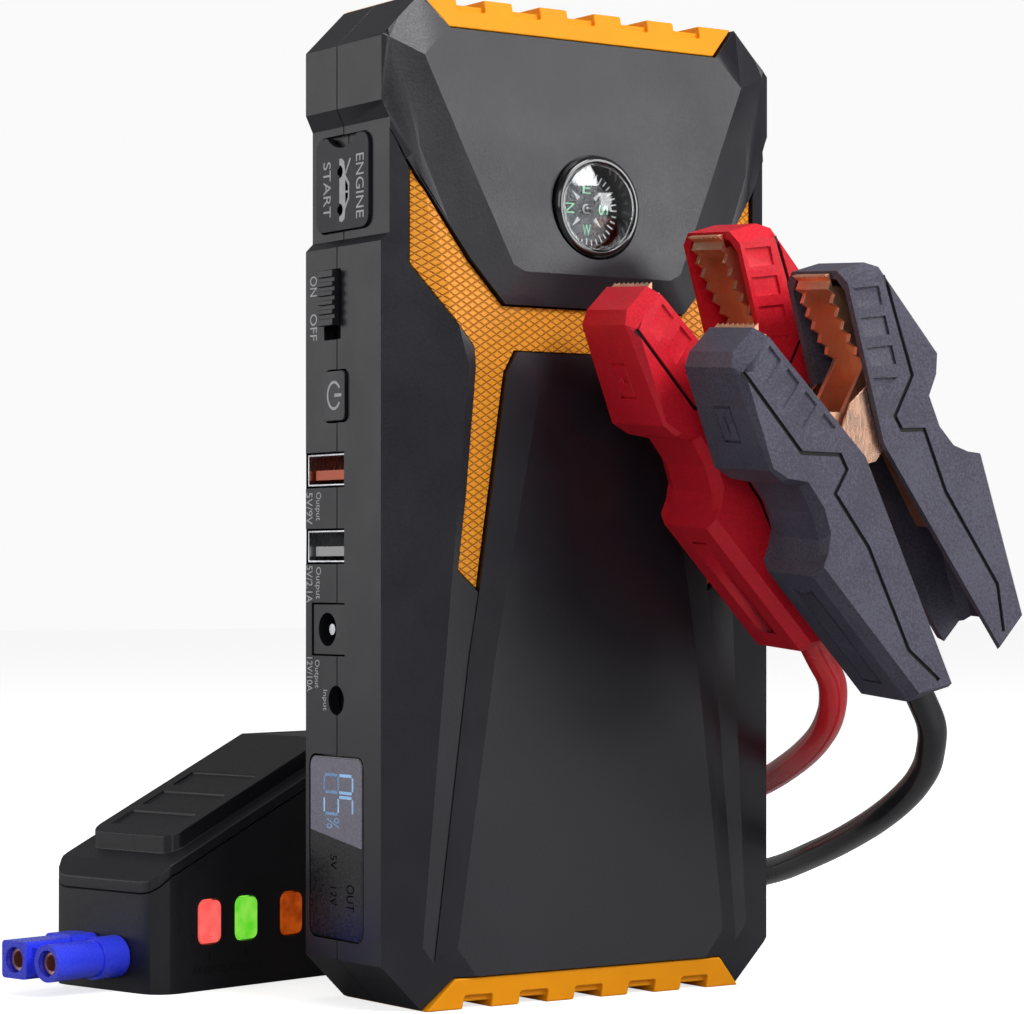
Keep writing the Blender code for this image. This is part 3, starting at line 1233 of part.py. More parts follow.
# ---------------------------------------------------------------- leads
def smooth(route, count):
    """Points spaced evenly along a smooth curve through a route."""
    places = [Vector(place) for place in route]
    places = [2 * places[0] - places[1]] + places + [2 * places[-1] - places[-2]]
    fine = []
    for before, start, end, after in zip(places, places[1:], places[2:], places[3:]):
        for t in (step / 8 for step in range(8)):
            fine.append(0.5 * (2 * start + (end - before) * t
                               + (2 * before - 5 * start + 4 * end - after) * t ** 2
                               + (3 * start - before - 3 * end + after) * t ** 3))
    fine.append(places[-2])
    gone = [0.0]
    for near, far in zip(fine, fine[1:]):
        gone.append(gone[-1] + (far - near).length)
    even, index = [], 0
    for number in range(count):
        wanted = gone[-1] * number / (count - 1)
        while index < len(gone) - 2 and gone[index + 1] < wanted:
            index += 1
        share = (wanted - gone[index]) / (gone[index + 1] - gone[index])
        even.append(fine[index].lerp(fine[index + 1], share))
    return even


def make_lead(colour, paint):
    """One lead, from inside its clamp's handle to inside the module."""
    points = smooth(LEAD_ROUTES[colour], LEAD_POINTS)
    BENCH.piece(tube(points, LEAD_RADIUS, "lead", 4), f"{colour}_cable", paint, 0.3)


# ---------------------------------------------------------------- the whole set
def make_pack():
    """The jump starter pack."""
    tools = make_socket_cover()
    make_jump_socket()
    tools += make_switch() + make_power_button()
    for name, place in USB_PLACES.items():
        tools += make_usb(name, place)
    tools += make_outlet() + make_inlet() + make_display() + make_compass()
    make_shells(tools)
    make_inlay()
    for top in (False, True):
        make_bumper(top)
    make_screws()
    make_boards_and_cells()


def make_lead_set():
    """The smart module with its two leads and their clamps."""
    BENCH.carrier = BENCH.empty("smart_module", MODULE_PLACE, (0, 0, MODULE_TURN))
    make_module()
    BENCH.carrier = None
    for colour, paint in PAINTS.items():
        make_clamp(colour, paint)
        make_lead(colour, paint)


make_pack()
make_lead_set()
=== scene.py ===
"""Looks of a car jump starter pack with its smart clamp leads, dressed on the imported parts.

Metres, +Z up, in the parts' own frame: X runs across the pack, its faceted front faces -Y and
the sockets are on its -X side. The clamps stand in front of it and the smart module behind it.
"""
import logging
import math
from dataclasses import dataclass, field
from enum import Enum
from typing import Callable, Iterable, Sequence

import bmesh
import bpy
from mathutils import Euler, Matrix, Vector
from mathutils.bvhtree import BVHTree


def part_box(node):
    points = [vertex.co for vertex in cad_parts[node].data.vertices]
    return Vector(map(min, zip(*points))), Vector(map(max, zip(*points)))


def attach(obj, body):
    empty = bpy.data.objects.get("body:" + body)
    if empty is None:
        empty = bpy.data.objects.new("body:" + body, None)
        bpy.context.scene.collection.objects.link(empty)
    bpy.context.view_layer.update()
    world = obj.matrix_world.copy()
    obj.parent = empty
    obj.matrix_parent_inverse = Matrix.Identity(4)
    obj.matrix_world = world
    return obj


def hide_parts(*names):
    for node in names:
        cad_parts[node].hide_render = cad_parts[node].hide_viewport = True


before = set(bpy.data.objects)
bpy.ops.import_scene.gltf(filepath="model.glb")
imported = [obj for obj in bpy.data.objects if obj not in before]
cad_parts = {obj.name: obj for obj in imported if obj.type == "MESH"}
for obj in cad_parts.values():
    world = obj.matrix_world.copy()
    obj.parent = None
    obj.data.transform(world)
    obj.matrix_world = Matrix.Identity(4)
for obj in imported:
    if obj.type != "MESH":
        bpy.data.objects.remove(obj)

Point = tuple[float, float, float]
Spot = tuple[float, float]
Colour = tuple[float, float, float]

MM = 0.001
NODE_WELD = 0.002 * MM
LETTER_WELD = 0.001 * MM
FLAT_ANGLE = math.radians(0.6)
log = logging.getLogger("jump_starter")


# ---------------------------------------------------------------- shared measures
class Body(Enum):
    """The bodies that pieces ride on."""

    PACK = "pack"
    COVER = "cover"
    SWITCH = "switch"
    BUTTON = "button"
    COMPASS = "compass"
    LEADS = "lead_set"
    RED_HALF = "red_half"
    BLACK_HALF = "black_half"


class Facing(Enum):
    """How a flat drawing is laid on the object: its rows are the drawing's across, up and out."""

    LEFT_SIDE = ((0, -1, 0), (0, 0, 1), (-1, 0, 0))
    LEFT_SIDE_DOWN = ((0, 0, -1), (0, -1, 0), (-1, 0, 0))
    FRONT = ((1, 0, 0), (0, 0, 1), (0, -1, 0))

    def matrix(self) -> Matrix:
        """The turn from the drawing's axes to the object's."""
        return Matrix(self.value).transposed().to_4x4()


# ---------------------------------------------------------------- shader bench
class Shader:
    """One material and the nodes that it is wired from."""

    def __init__(self, name: str) -> None:
        """Start a material with a plain principled shader."""
        self.material = bpy.data.materials.new(name)
        self.material.use_nodes = True
        self.tree = self.material.node_tree
        self.surface = self.tree.nodes["Principled BSDF"]

    def set(self, **sockets: float | Colour) -> "Shader":
        """Set constants on the principled shader, its sockets named with underscores."""
        for name, value in sockets.items():
            socket = self.surface.inputs[name.replace("_", " ")]
            colour = isinstance(value, tuple) and len(value) == 3 and socket.type == "RGBA"
            socket.default_value = (*value, 1.0) if colour else value
        return self

    def node(self, kind: str, inputs: dict | None = None, **settings: object) -> bpy.types.Node:
        """Add a node.

        Args:
            kind: The node's type, without its ShaderNode prefix.
            inputs: Values or sockets for its inputs, by name or number.
            **settings: Its own properties.

        Returns:
            The new node.
        """
        made = self.tree.nodes.new("ShaderNode" + kind)
        for name, value in settings.items():
            setattr(made, name, value)
        for name, value in (inputs or {}).items():
            if isinstance(value, bpy.types.NodeSocket):
                self.tree.links.new(value, made.inputs[name])
            else:
                made.inputs[name].default_value = value
        return made

    def link(self, source: bpy.types.NodeSocket, socket: str) -> None:
        """Wire an output into one of the principled shader's inputs."""
        self.tree.links.new(source, self.surface.inputs[socket])

    def place(self) -> bpy.types.NodeSocket:
        """The object coordinates."""
        return self.node("TexCoord").outputs["Object"]

    def noise(self, scale: float, detail: float = 2.0, where: object = None) -> bpy.types.NodeSocket:
        """A noise value on the object coordinates.

        Args:
            scale: Its cells per metre.
            detail: Its octaves.
            where: Other coordinates to read.

        Returns:
            The noise's value.
        """
        inputs = {"Vector": where or self.place(), "Scale": scale, "Detail": detail}
        return self.node("TexNoise", inputs).outputs["Fac"]

    def ramp(self, value: bpy.types.NodeSocket, low: float, high: float, start: float = 0.3,
             end: float = 0.7) -> bpy.types.NodeSocket:
        """A value spread over a new range.

        Args:
            value: What is spread.
            low: The result at start.
            high: The result at end.
            start: The value that gives low.
            end: The value that gives high.

        Returns:
            The spread value.
        """
        inputs = {"Value": value, "From Min": start, "From Max": end, "To Min": low, "To Max": high}
        return self.node("MapRange", inputs).outputs["Result"]

    def mix(self, share: bpy.types.NodeSocket | float, first: object, second: object
            ) -> bpy.types.NodeSocket:
        """Two colours mixed.

        Args:
            share: How much of the second colour.
            first: A colour or a socket.
            second: A colour or a socket.

        Returns:
            The mixed colour.
        """
        def plain(value: object) -> object:
            """A colour with its alpha, or a socket as it is."""
            return (*value, 1.0) if isinstance(value, tuple) else value

        made = self.node("Mix", {"Factor": share}, data_type="RGBA")
        for socket, value in ((made.inputs[6], plain(first)), (made.inputs[7], plain(second))):
            if isinstance(value, bpy.types.NodeSocket):
                self.tree.links.new(value, socket)
            else:
                socket.default_value = value
        return made.outputs[2]

    def math(self, operation: str, *values: object) -> bpy.types.NodeSocket:
        """A sum, product or other operation on values and sockets."""
        inputs = dict(enumerate(values))
        return self.node("Math", inputs, operation=operation).outputs[0]

    def bump(self, height: bpy.types.NodeSocket, distance: float, strength: float
             ) -> bpy.types.NodeSocket:
        """A bump from a height.

        Args:
            height: From 0 to 1.
            distance: What 1 stands for, in metres.
            strength: How much of it shows.

        Returns:
            The bumped normal.
        """
        inputs = {"Height": height, "Distance": distance, "Strength": strength}
        return self.node("Bump", inputs).outputs["Normal"]


# ---------------------------------------------------------------- finishes
@dataclass(frozen=True)
class MouldedPlastic:
    """A moulded plastic or rubber with a spark-eroded grain."""

    name: str
    colour: Colour
    roughness: float = 0.42
    grain: float = 2600.0
    depth: float = 0.02 * MM
    mottle: float = 0.12
    coat: float = 0.0
    speckle: float = 0.0
    gloss: float = 0.5

    def build(self) -> bpy.types.Material:
        """Wire the material."""
        shader = Shader(self.name)
        place = shader.place()
        cloud = shader.noise(90.0, 3.0, place)
        grain = shader.noise(self.grain, 2.0, place)
        pits = shader.node("TexVoronoi", {"Vector": place, "Scale": self.grain * 0.6}).outputs["Distance"]
        light = tuple(min(1.0, channel * (1 + self.mottle) + 0.001) for channel in self.colour)
        dark = tuple(channel * (1 - self.mottle) for channel in self.colour)
        share = shader.math("ADD", shader.ramp(cloud, 0, 1), shader.ramp(grain, -self.speckle, self.speckle))
        shader.link(shader.mix(share, dark, light), "Base Color")
        rough = shader.math("ADD", shader.ramp(cloud, self.roughness - 0.03, self.roughness + 0.03),
                            shader.ramp(grain, -0.04, 0.04))
        shader.link(rough, "Roughness")
        height = shader.math("ADD", grain, shader.math("MULTIPLY", pits, 0.5))
        shader.link(shader.bump(height, self.depth, 0.6), "Normal")
        shader.set(Coat_Weight=self.coat, Coat_Roughness=0.12, Specular_IOR_Level=self.gloss)
        return shader.material


@dataclass(frozen=True)
class PlatedMetal:
    """A plated metal with fine drawn lines and small stains."""

    name: str
    colour: Colour
    shade: Colour
    roughness: float = 0.28
    lines: Point = (900.0, 900.0, 120.0)

    def build(self) -> bpy.types.Material:
        """Wire the material."""
        shader = Shader(self.name)
        place = shader.place()
        drawn = shader.node("Mapping", {"Vector": place, "Scale": self.lines}).outputs["Vector"]
        streak = shader.noise(3.0, 3.0, drawn)
        stain = shader.noise(260.0, 4.0, place)
        shader.link(shader.mix(shader.ramp(stain, 0, 1, 0.35, 0.75), self.colour, self.shade),
                    "Base Color")
        shader.link(shader.math("ADD", shader.ramp(streak, self.roughness - 0.08, self.roughness + 0.08),
                                shader.ramp(stain, -0.02, 0.06)), "Roughness")
        shader.link(shader.bump(streak, 0.01 * MM, 0.35), "Normal")
        return shader.set(Metallic=1.0).material


@dataclass(frozen=True)
class RaisedLozenges:
    """Amber plastic with rows of small raised lozenges, the grooves between them painted darker as shade."""

    name: str
    colour: Colour
    # The colour between the lozenges: a darker amber that is painted shade in the grooves.
    groove: Colour
    pitch: Spot = (2.5 * MM, 1.5 * MM)

    def build(self) -> bpy.types.Material:
        """Wire the material."""
        shader = Shader(self.name)
        place = shader.place()
        split = shader.node("SeparateXYZ", {"Vector": place})
        across = shader.math("DIVIDE", split.outputs["X"], self.pitch[0])
        up = shader.math("DIVIDE", split.outputs["Z"], self.pitch[1])
        sides = []
        for operation in ("ADD", "SUBTRACT"):
            line = shader.math("FRACT", shader.math("ADD", shader.math(operation, across, up), 50.0))
            sides.append(shader.math("ABSOLUTE", shader.math("SUBTRACT", line, 0.5)))
        edge = shader.math("MAXIMUM", *sides)
        raised = shader.ramp(edge, 1.0, 0.0, 0.33, 0.48)
        grain = shader.noise(2600.0, 2.0, place)
        cloud = shader.noise(70.0, 2.0, place)
        face = shader.mix(shader.ramp(cloud, 0, 1), self.colour,
                          tuple(channel * 0.86 for channel in self.colour))
        # The grooves take the darker colour: painted shade between the raised lozenges.
        shader.link(shader.mix(raised, self.groove, face), "Base Color")
        shader.link(shader.ramp(grain, 0.40, 0.52), "Roughness")
        height = shader.math("ADD", raised, shader.math("MULTIPLY", grain, 0.08))
        shader.link(shader.bump(height, 0.22 * MM, 0.8), "Normal")
        return shader.material


@dataclass(frozen=True)
class ClearPlastic:
    """Clear glossy plastic with a trace of fine scratches."""

    name: str
    colour: Colour = (0.96, 0.98, 1.0)
    roughness: float = 0.02

    def build(self) -> bpy.types.Material:
        """Wire the material."""
        shader = Shader(self.name)
        shader.link(shader.ramp(shader.noise(700.0, 4.0), self.roughness, self.roughness + 0.04),
                    "Roughness")
        return shader.set(Base_Color=self.colour, Transmission_Weight=1.0, IOR=1.49).material


@dataclass(frozen=True)
class LitLens:
    """A translucent lamp lens that glows, brighter in patches."""

    name: str
    colour: Colour
    core: Colour
    strength: float = 0.9

    def build(self) -> bpy.types.Material:
        """Wire the material."""
        shader = Shader(self.name)
        glow = shader.mix(shader.ramp(shader.noise(380.0, 2.0), 0, 1), self.colour, self.core)
        shader.link(glow, "Base Color")
        shader.link(glow, "Emission Color")
        shader.link(shader.ramp(shader.noise(1500.0), 0.16, 0.24), "Roughness")
        return shader.set(Emission_Strength=self.strength, Coat_Weight=0.6).material


@dataclass(frozen=True)
class Print:
    """A thin printed ink, a little uneven."""

    name: str
    colour: Colour
    # glow: emission strength. On the screen it stands for the backlight; on the compass dial it is painted
    # light.
    glow: float = 0.0
    roughness: float = 0.45

    def build(self) -> bpy.types.Material:
        """Wire the material."""
        shader = Shader(self.name)
        faded = tuple(channel * 0.86 for channel in self.colour)
        ink = shader.mix(shader.ramp(shader.noise(900.0, 3.0), 0, 1), self.colour, faded)
        shader.link(ink, "Base Color")
        shader.link(shader.ramp(shader.noise(2500.0), self.roughness - 0.05, self.roughness + 0.08),
                    "Roughness")
        if self.glow:
            shader.link(ink, "Emission Color")
            shader.set(Emission_Strength=self.glow)
        return shader.material


class Paint(Enum):
    """Every finish on the object."""

    CASE = MouldedPlastic("case_charcoal", (0.0105, 0.0100, 0.0150), 0.36, mottle=0.05)
    AMBER = MouldedPlastic("amber_rubber", (0.93, 0.34, 0.003), 0.55, depth=0.015 * MM, mottle=0.04,
                           gloss=0.2)
    # The second colour is painted shade for the grooves between the lozenges.
    LOZENGES = RaisedLozenges("amber_lozenges", (0.90, 0.33, 0.006), (0.46, 0.14, 0.004))
    SOFT_BLACK = MouldedPlastic("soft_black_rubber", (0.018, 0.0175, 0.024), 0.50, depth=0.02 * MM,
                                mottle=0.05)
    KNOB = MouldedPlastic("satin_knob", (0.0105, 0.0100, 0.0145), 0.34, mottle=0.05)
    DARK = MouldedPlastic("dark_moulding", (0.004, 0.004, 0.005), 0.45)
    GLOSS_BLACK = MouldedPlastic("glossy_black", (0.003, 0.003, 0.004), 0.12, depth=0.002 * MM, coat=0.6)
    MODULE = MouldedPlastic("module_black", (0.0100, 0.0098, 0.0130), 0.46, 1500.0, 0.04 * MM)
    RED_GRIP = MouldedPlastic("clamp_red", (0.78, 0.012, 0.030), 0.42, 2200.0, 0.06 * MM, 0.08, 0.0, 0.8,
                              0.4)
    BLACK_GRIP = MouldedPlastic("clamp_black", (0.078, 0.074, 0.106), 0.46, 2200.0, 0.08 * MM, 0.20, 0.0,
                                1.0, 0.4)
    RED_CABLE = MouldedPlastic("cable_red", (0.95, 0.022, 0.032), 0.24, 300.0, 0.0, 0.02, 0.5)
    BLACK_CABLE = MouldedPlastic("cable_black", (0.012, 0.012, 0.014), 0.24, 300.0, 0.0, 0.02, 0.5)
    BLUE = MouldedPlastic("plug_blue", (0.038, 0.060, 0.95), 0.26, 2000.0, 0.004 * MM, 0.04, 0.3)
    COPPER = PlatedMetal("copper", (1.0, 0.62, 0.42), (0.92, 0.42, 0.24), 0.42)
    LIGHT_COPPER = PlatedMetal("light_copper", (0.95, 0.62, 0.46), (0.85, 0.45, 0.30), 0.24)
    STEEL = PlatedMetal("steel", (0.62, 0.63, 0.66), (0.46, 0.46, 0.49), 0.24)
    TONGUE_ORANGE = MouldedPlastic("tongue_orange", (0.80, 0.11, 0.015), 0.34, depth=0.008 * MM)
    TONGUE_PALE = MouldedPlastic("tongue_pale", (0.60, 0.60, 0.59), 0.36, depth=0.008 * MM)
    BOARD = MouldedPlastic("circuit_board", (0.012, 0.11, 0.035), 0.34, 500.0, 0.02 * MM, 0.25, 0.4)
    FOIL = PlatedMetal("cell_foil", (0.62, 0.63, 0.65), (0.50, 0.50, 0.52), 0.32, (60.0, 60.0, 60.0))
    TRAY = MouldedPlastic("tray_grey", (0.26, 0.26, 0.27), 0.5)
    DOME = ClearPlastic("compass_dome_clear")
    LAMP_RED = LitLens("lamp_red", (0.95, 0.10, 0.09), (1.0, 0.16, 0.14), 0.75)
    LAMP_GREEN = LitLens("lamp_green", (0.14, 0.80, 0.03), (0.34, 0.95, 0.10), 0.65)
    LAMP_ORANGE = LitLens("lamp_orange", (0.50, 0.06, 0.004), (0.85, 0.14, 0.01), 0.35)
    INK_WHITE = Print("ink_white", (0.66, 0.66, 0.70))
    INK_GREY = Print("ink_grey", (0.20, 0.20, 0.23))
    INK_DARK = Print("ink_dark", (0.0022, 0.0022, 0.0026))
    # The compass dial's inks glow, though the compass has no lamp: painted light that keeps them bright
    # under the dome.
    DIAL_GREEN = Print("dial_green", (0.45, 0.90, 0.62), 0.3)
    DIAL_WHITE = Print("dial_white", (0.86, 0.88, 0.88), 0.25)
    DIGITS = Print("digits_blue", (0.42, 0.70, 0.95), 0.75)
    SCREEN_PALE = Print("screen_pale", (0.20, 0.19, 0.25), 0.12, 0.25)
    SCREEN_BLACK = Print("screen_black", (0.0012, 0.0012, 0.0016), 0.0, 0.25)

    def material(self) -> bpy.types.Material:
        """The built material, made once."""
        return bpy.data.materials.get(self.value.name) or self.value.build()


# ---------------------------------------------------------------- workshop
def only(piece: bpy.types.Object) -> None:
    """Select one piece and nothing else, and make it active."""
    bpy.ops.object.select_all(action="DESELECT")
    piece.select_set(True)
    bpy.context.view_layer.objects.active = piece


def edit(piece: bpy.types.Object, *steps: Callable[[], object]) -> None:
    """Run mesh operators in edit mode, each on the whole piece."""
    only(piece)
    bpy.ops.object.mode_set(mode="EDIT")
    for step in steps:
        bpy.ops.mesh.select_all(action="SELECT")
        step()
    bpy.ops.object.mode_set(mode="OBJECT")


def face_out() -> None:
    """Turn the selected faces' normals outwards."""
    bpy.ops.mesh.normals_make_consistent(inside=False)


class Workpiece:
    """A mesh that is being modelled, with the operators and modifiers that shape it."""

    def __init__(self, piece: bpy.types.Object, name: str) -> None:
        """Take an object to the bench under its own name."""
        self.piece = piece
        piece.name = name
        piece.data.name = name

    @classmethod
    def of_node(cls, node: str, name: str) -> "Workpiece":
        """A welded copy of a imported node, its flat faces whole again.

        Args:
            node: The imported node.
            name: The new piece's name.

        Returns:
            The copy on the bench.
        """
        copy = bpy.data.objects.new(name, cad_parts[node].data.copy())
        bpy.context.scene.collection.objects.link(copy)
        work = cls(copy, name)
        edit(copy, lambda: bpy.ops.mesh.remove_doubles(threshold=NODE_WELD),
             lambda: bpy.ops.mesh.dissolve_limited(angle_limit=FLAT_ANGLE))
        copy.data.materials.clear()
        return work

    @classmethod
    def slab(cls, outline: Sequence[Spot], thickness: float, turn: Matrix, name: str) -> "Workpiece":
        """A flat outline raised into a slab.

        Args:
            outline: Its points, as (across, up).
            thickness: How far it rises out of the drawing.
            turn: Where the drawing lies on the object.
            name: The new piece's name.

        Returns:
            The slab on the bench.
        """
        bpy.ops.object.select_all(action="DESELECT")
        bpy.ops.mesh.primitive_circle_add(vertices=len(outline), radius=1.0, fill_type="NGON")
        work = cls(bpy.context.object, name)
        for vertex, (across, up) in zip(work.piece.data.vertices, outline):
            vertex.co = (across, up, 0.0)
        rise = {"value": (0, 0, thickness)}
        edit(work.piece, lambda: bpy.ops.mesh.extrude_region_move(TRANSFORM_OT_translate=rise), face_out)
        work.piece.data.transform(turn)
        return work

    @classmethod
    def words(cls, text: str, size: Spot, thickness: float, turn: Matrix, name: str
              ) -> "Workpiece":
        """Plain lettering, centred on its place and fitted to a size.

        Args:
            text: The words.
            size: Their length and height.
            thickness: How far the letters stand out, in all.
            turn: Where the lettering lies on the object.
            name: The new piece's name.

        Returns:
            The lettering on the bench, as a mesh.
        """
        bpy.ops.object.select_all(action="DESELECT")
        bpy.ops.object.text_add()
        letters = bpy.context.object
        letters.data.body = text
        letters.data.size = size[1]
        letters.data.align_x = "CENTER"
        letters.data.align_y = "CENTER"
        letters.data.extrude = thickness / 2
        letters.data.resolution_u = 4
        only(letters)
        bpy.ops.object.convert(target="MESH")
        work = cls(bpy.context.object, name)
        edit(work.piece, lambda: bpy.ops.mesh.remove_doubles(threshold=LETTER_WELD))
        places = [vertex.co for vertex in work.piece.data.vertices]
        lowest = Vector(min(place[axis] for place in places) for axis in range(2))
        highest = Vector(max(place[axis] for place in places) for axis in range(2))
        fit = Matrix.Diagonal((size[0] / (highest.x - lowest.x), size[1] / (highest.y - lowest.y), 1, 1))
        middle = ((lowest + highest) / 2).to_3d()
        work.piece.data.transform(turn @ fit @ Matrix.Translation(-middle))
        return work

    def apply(self, kind: str, **settings: object) -> "Workpiece":
        """Add a modifier with its settings and apply it."""
        only(self.piece)
        modifier = self.piece.modifiers.new(kind.lower(), kind)
        for name, value in settings.items():
            setattr(modifier, name, value)
        bpy.ops.object.modifier_apply(modifier=modifier.name)
        return self

    def cut(self, *tools: "Workpiece") -> "Workpiece":
        """Cut the piece with others, which are used up."""
        for tool in tools:
            self.apply("BOOLEAN", operation="DIFFERENCE", solver="EXACT", object=tool.piece)
            bpy.data.meshes.remove(tool.piece.data)
        return self

    def round_edges(self, width: float, segments: int = 3, angle: float = 20.0,
                    shortest: float = 0.0, where: Callable[[Vector], bool] | None = None
                    ) -> "Workpiece":
        """Round the sharp edges.

        Args:
            width: The rounding's width.
            segments: Its steps.
            angle: The smallest turn between two faces that counts as sharp, in degrees.
            shortest: Edges shorter than this stay as they are.
            where: Says whether an edge with this middle is rounded.

        Returns:
            The same workpiece.
        """
        mesh = self.piece.data
        work = bmesh.new()
        work.from_mesh(mesh)
        layer = work.edges.layers.float.new("bevel_weight_edge")
        for edge in work.edges:
            middle = (edge.verts[0].co + edge.verts[1].co) / 2
            sharp = edge.is_manifold and edge.calc_face_angle(0.0) > math.radians(angle)
            chosen = sharp and edge.calc_length() >= shortest and (where is None or where(middle))
            edge[layer] = 1.0 if chosen else 0.0
        work.to_mesh(mesh)
        work.free()
        return self.apply("BEVEL", width=width, segments=segments, limit_method="WEIGHT",
                          use_clamp_overlap=True, miter_outer="MITER_ARC")

    def smooth(self, angle: float = 32.0) -> "Workpiece":
        """Shade smoothly across edges flatter than an angle, large faces staying flat."""
        only(self.piece)
        bpy.ops.object.shade_smooth_by_angle(angle=math.radians(angle))
        return self.apply("WEIGHTED_NORMAL", keep_sharp=True, weight=60)

    def finish(self, body: Body, paint: Paint, replaces: Iterable[str] = ()) -> bpy.types.Object:
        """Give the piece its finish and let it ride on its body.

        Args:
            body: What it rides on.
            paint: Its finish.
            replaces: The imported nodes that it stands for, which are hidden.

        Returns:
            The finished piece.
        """
        self.piece.data.materials.clear()
        self.piece.data.materials.append(paint.material())
        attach(self.piece, body.value)
        nodes = tuple(replaces)
        if nodes:
            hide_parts(*nodes)
        log.info("%s rides on %s in %s", self.piece.name, body.value, paint.value.name)
        return self.piece


def dress(node: str, paint: Paint) -> None:
    """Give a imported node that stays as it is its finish."""
    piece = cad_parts[node]
    piece.data.materials.clear()
    piece.data.materials.append(paint.material())
    for polygon in piece.data.polygons:
        polygon.material_index = 0
    log.info("%s is dressed in %s", node, paint.value.name)


@dataclass
class Softened:
    """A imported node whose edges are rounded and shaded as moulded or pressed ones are."""

    node: str
    body: Body
    paint: Paint
    width: float
    segments: int = 3
    angle: float = 20.0
    shortest: float = 0.0
    where: Callable[[Vector], bool] | None = None

    def build(self) -> bpy.types.Object:
        """Build the piece in the node's place."""
        work = Workpiece.of_node(self.node, self.node + "_finished")
        work.round_edges(self.width, self.segments, self.angle, self.shortest, self.where).smooth()
        return work.finish(self.body, self.paint, (self.node,))


# ---------------------------------------------------------------- marks
def stroke(start: Spot, end: Spot, width: float) -> list[Spot]:
    """The outline of a straight stroke."""
    along = Vector(end) - Vector(start)
    side = Vector((-along.y, along.x)).normalized() * width / 2
    corners = (Vector(start) - side, Vector(end) - side, Vector(end) + side, Vector(start) + side)
    return [tuple(corner) for corner in corners]


def arc(radius: float, start: float, end: float, steps: int = 32, middle: Spot = (0.0, 0.0)
        ) -> list[Spot]:
    """Points on an arc round a middle, in degrees."""
    angles = [math.radians(start + (end - start) * step / steps) for step in range(steps + 1)]
    return [(middle[0] + radius * math.cos(angle), middle[1] + radius * math.sin(angle))
            for angle in angles]


def ribbon(points: Sequence[Spot], width: float) -> list[Spot]:
    """The outline of an open line drawn with a width, its corners mitred."""
    line = [Vector(point) for point in points]
    sides: list[Vector] = []
    for index, here in enumerate(line):
        before = (here - line[index - 1]).normalized() if index else None
        after = (line[index + 1] - here).normalized() if index < len(line) - 1 else None
        first, second = before or after, after or before
        normal = Vector((-first.y, first.x)) + Vector((-second.y, second.x))
        sides.append(normal * (width / 2) / (1 + first.dot(second)))
    near = [tuple(here - side) for here, side in zip(line, sides)]
    far = [tuple(here + side) for here, side in zip(line, sides)]
    return near + far[::-1]


def frame_of(size: Spot, width: float) -> list[list[Spot]]:
    """The four strokes of a rectangular frame round the origin."""
    x, y = size[0] / 2, size[1] / 2
    more = width / 2
    return [stroke((-x - more, y), (x + more, y), width), stroke((-x - more, -y), (x + more, -y), width),
            stroke((-x, -y + more), (-x, y - more), width), stroke((x, -y + more), (x, y - more), width)]


class Marks:
    """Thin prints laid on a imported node's surface."""

    THICKNESS = 0.06 * MM

    def __init__(self, host: str, body: Body, facing: Facing | Matrix) -> None:
        """Read the surface that the marks lie on.

        Args:
            host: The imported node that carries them.
            body: What they ride on.
            facing: How they are laid.
        """
        self.host = host
        self.body = body
        self.turn = facing.matrix() if isinstance(facing, Facing) else facing
        self.out = (self.turn.to_3x3() @ Vector((0, 0, 1))).normalized()
        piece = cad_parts[host]
        self.tree = BVHTree.FromPolygons(
            [piece.matrix_world @ vertex.co for vertex in piece.data.vertices],
            [tuple(polygon.vertices) for polygon in piece.data.polygons])

    def seat(self, place: Vector) -> Matrix:
        """Where a mark at a place lies, half of its thickness sunk in the surface."""
        hit, *_ = self.tree.ray_cast(Vector(place) + self.out * 20 * MM, -self.out)
        return Matrix.Translation(hit or place) @ self.turn

    def words(self, text: str, place: Vector, size: Spot, paint: Paint, name: str, turn: float = 0.0
              ) -> None:
        """Print a word, centred on its place and turned by degrees."""
        seat = self.seat(place) @ Matrix.Rotation(math.radians(turn), 4, "Z")
        Workpiece.words(text, size, self.THICKNESS, seat, f"{self.host}_{name}").finish(self.body, paint)

    def shapes(self, outlines: Sequence[Sequence[Spot]], place: Vector, paint: Paint, name: str
               ) -> None:
        """Print filled outlines as one piece, their points measured from its place."""
        seat = self.seat(place) @ Matrix.Translation((0, 0, -self.THICKNESS / 2))
        works = [Workpiece.slab(outline, self.THICKNESS, seat, f"{self.host}_{name}")
                 for outline in outlines]
        only(works[0].piece)
        for work in works[1:]:
            work.piece.select_set(True)
        if len(works) > 1:
            bpy.ops.object.join()
        works[0].finish(self.body, paint)


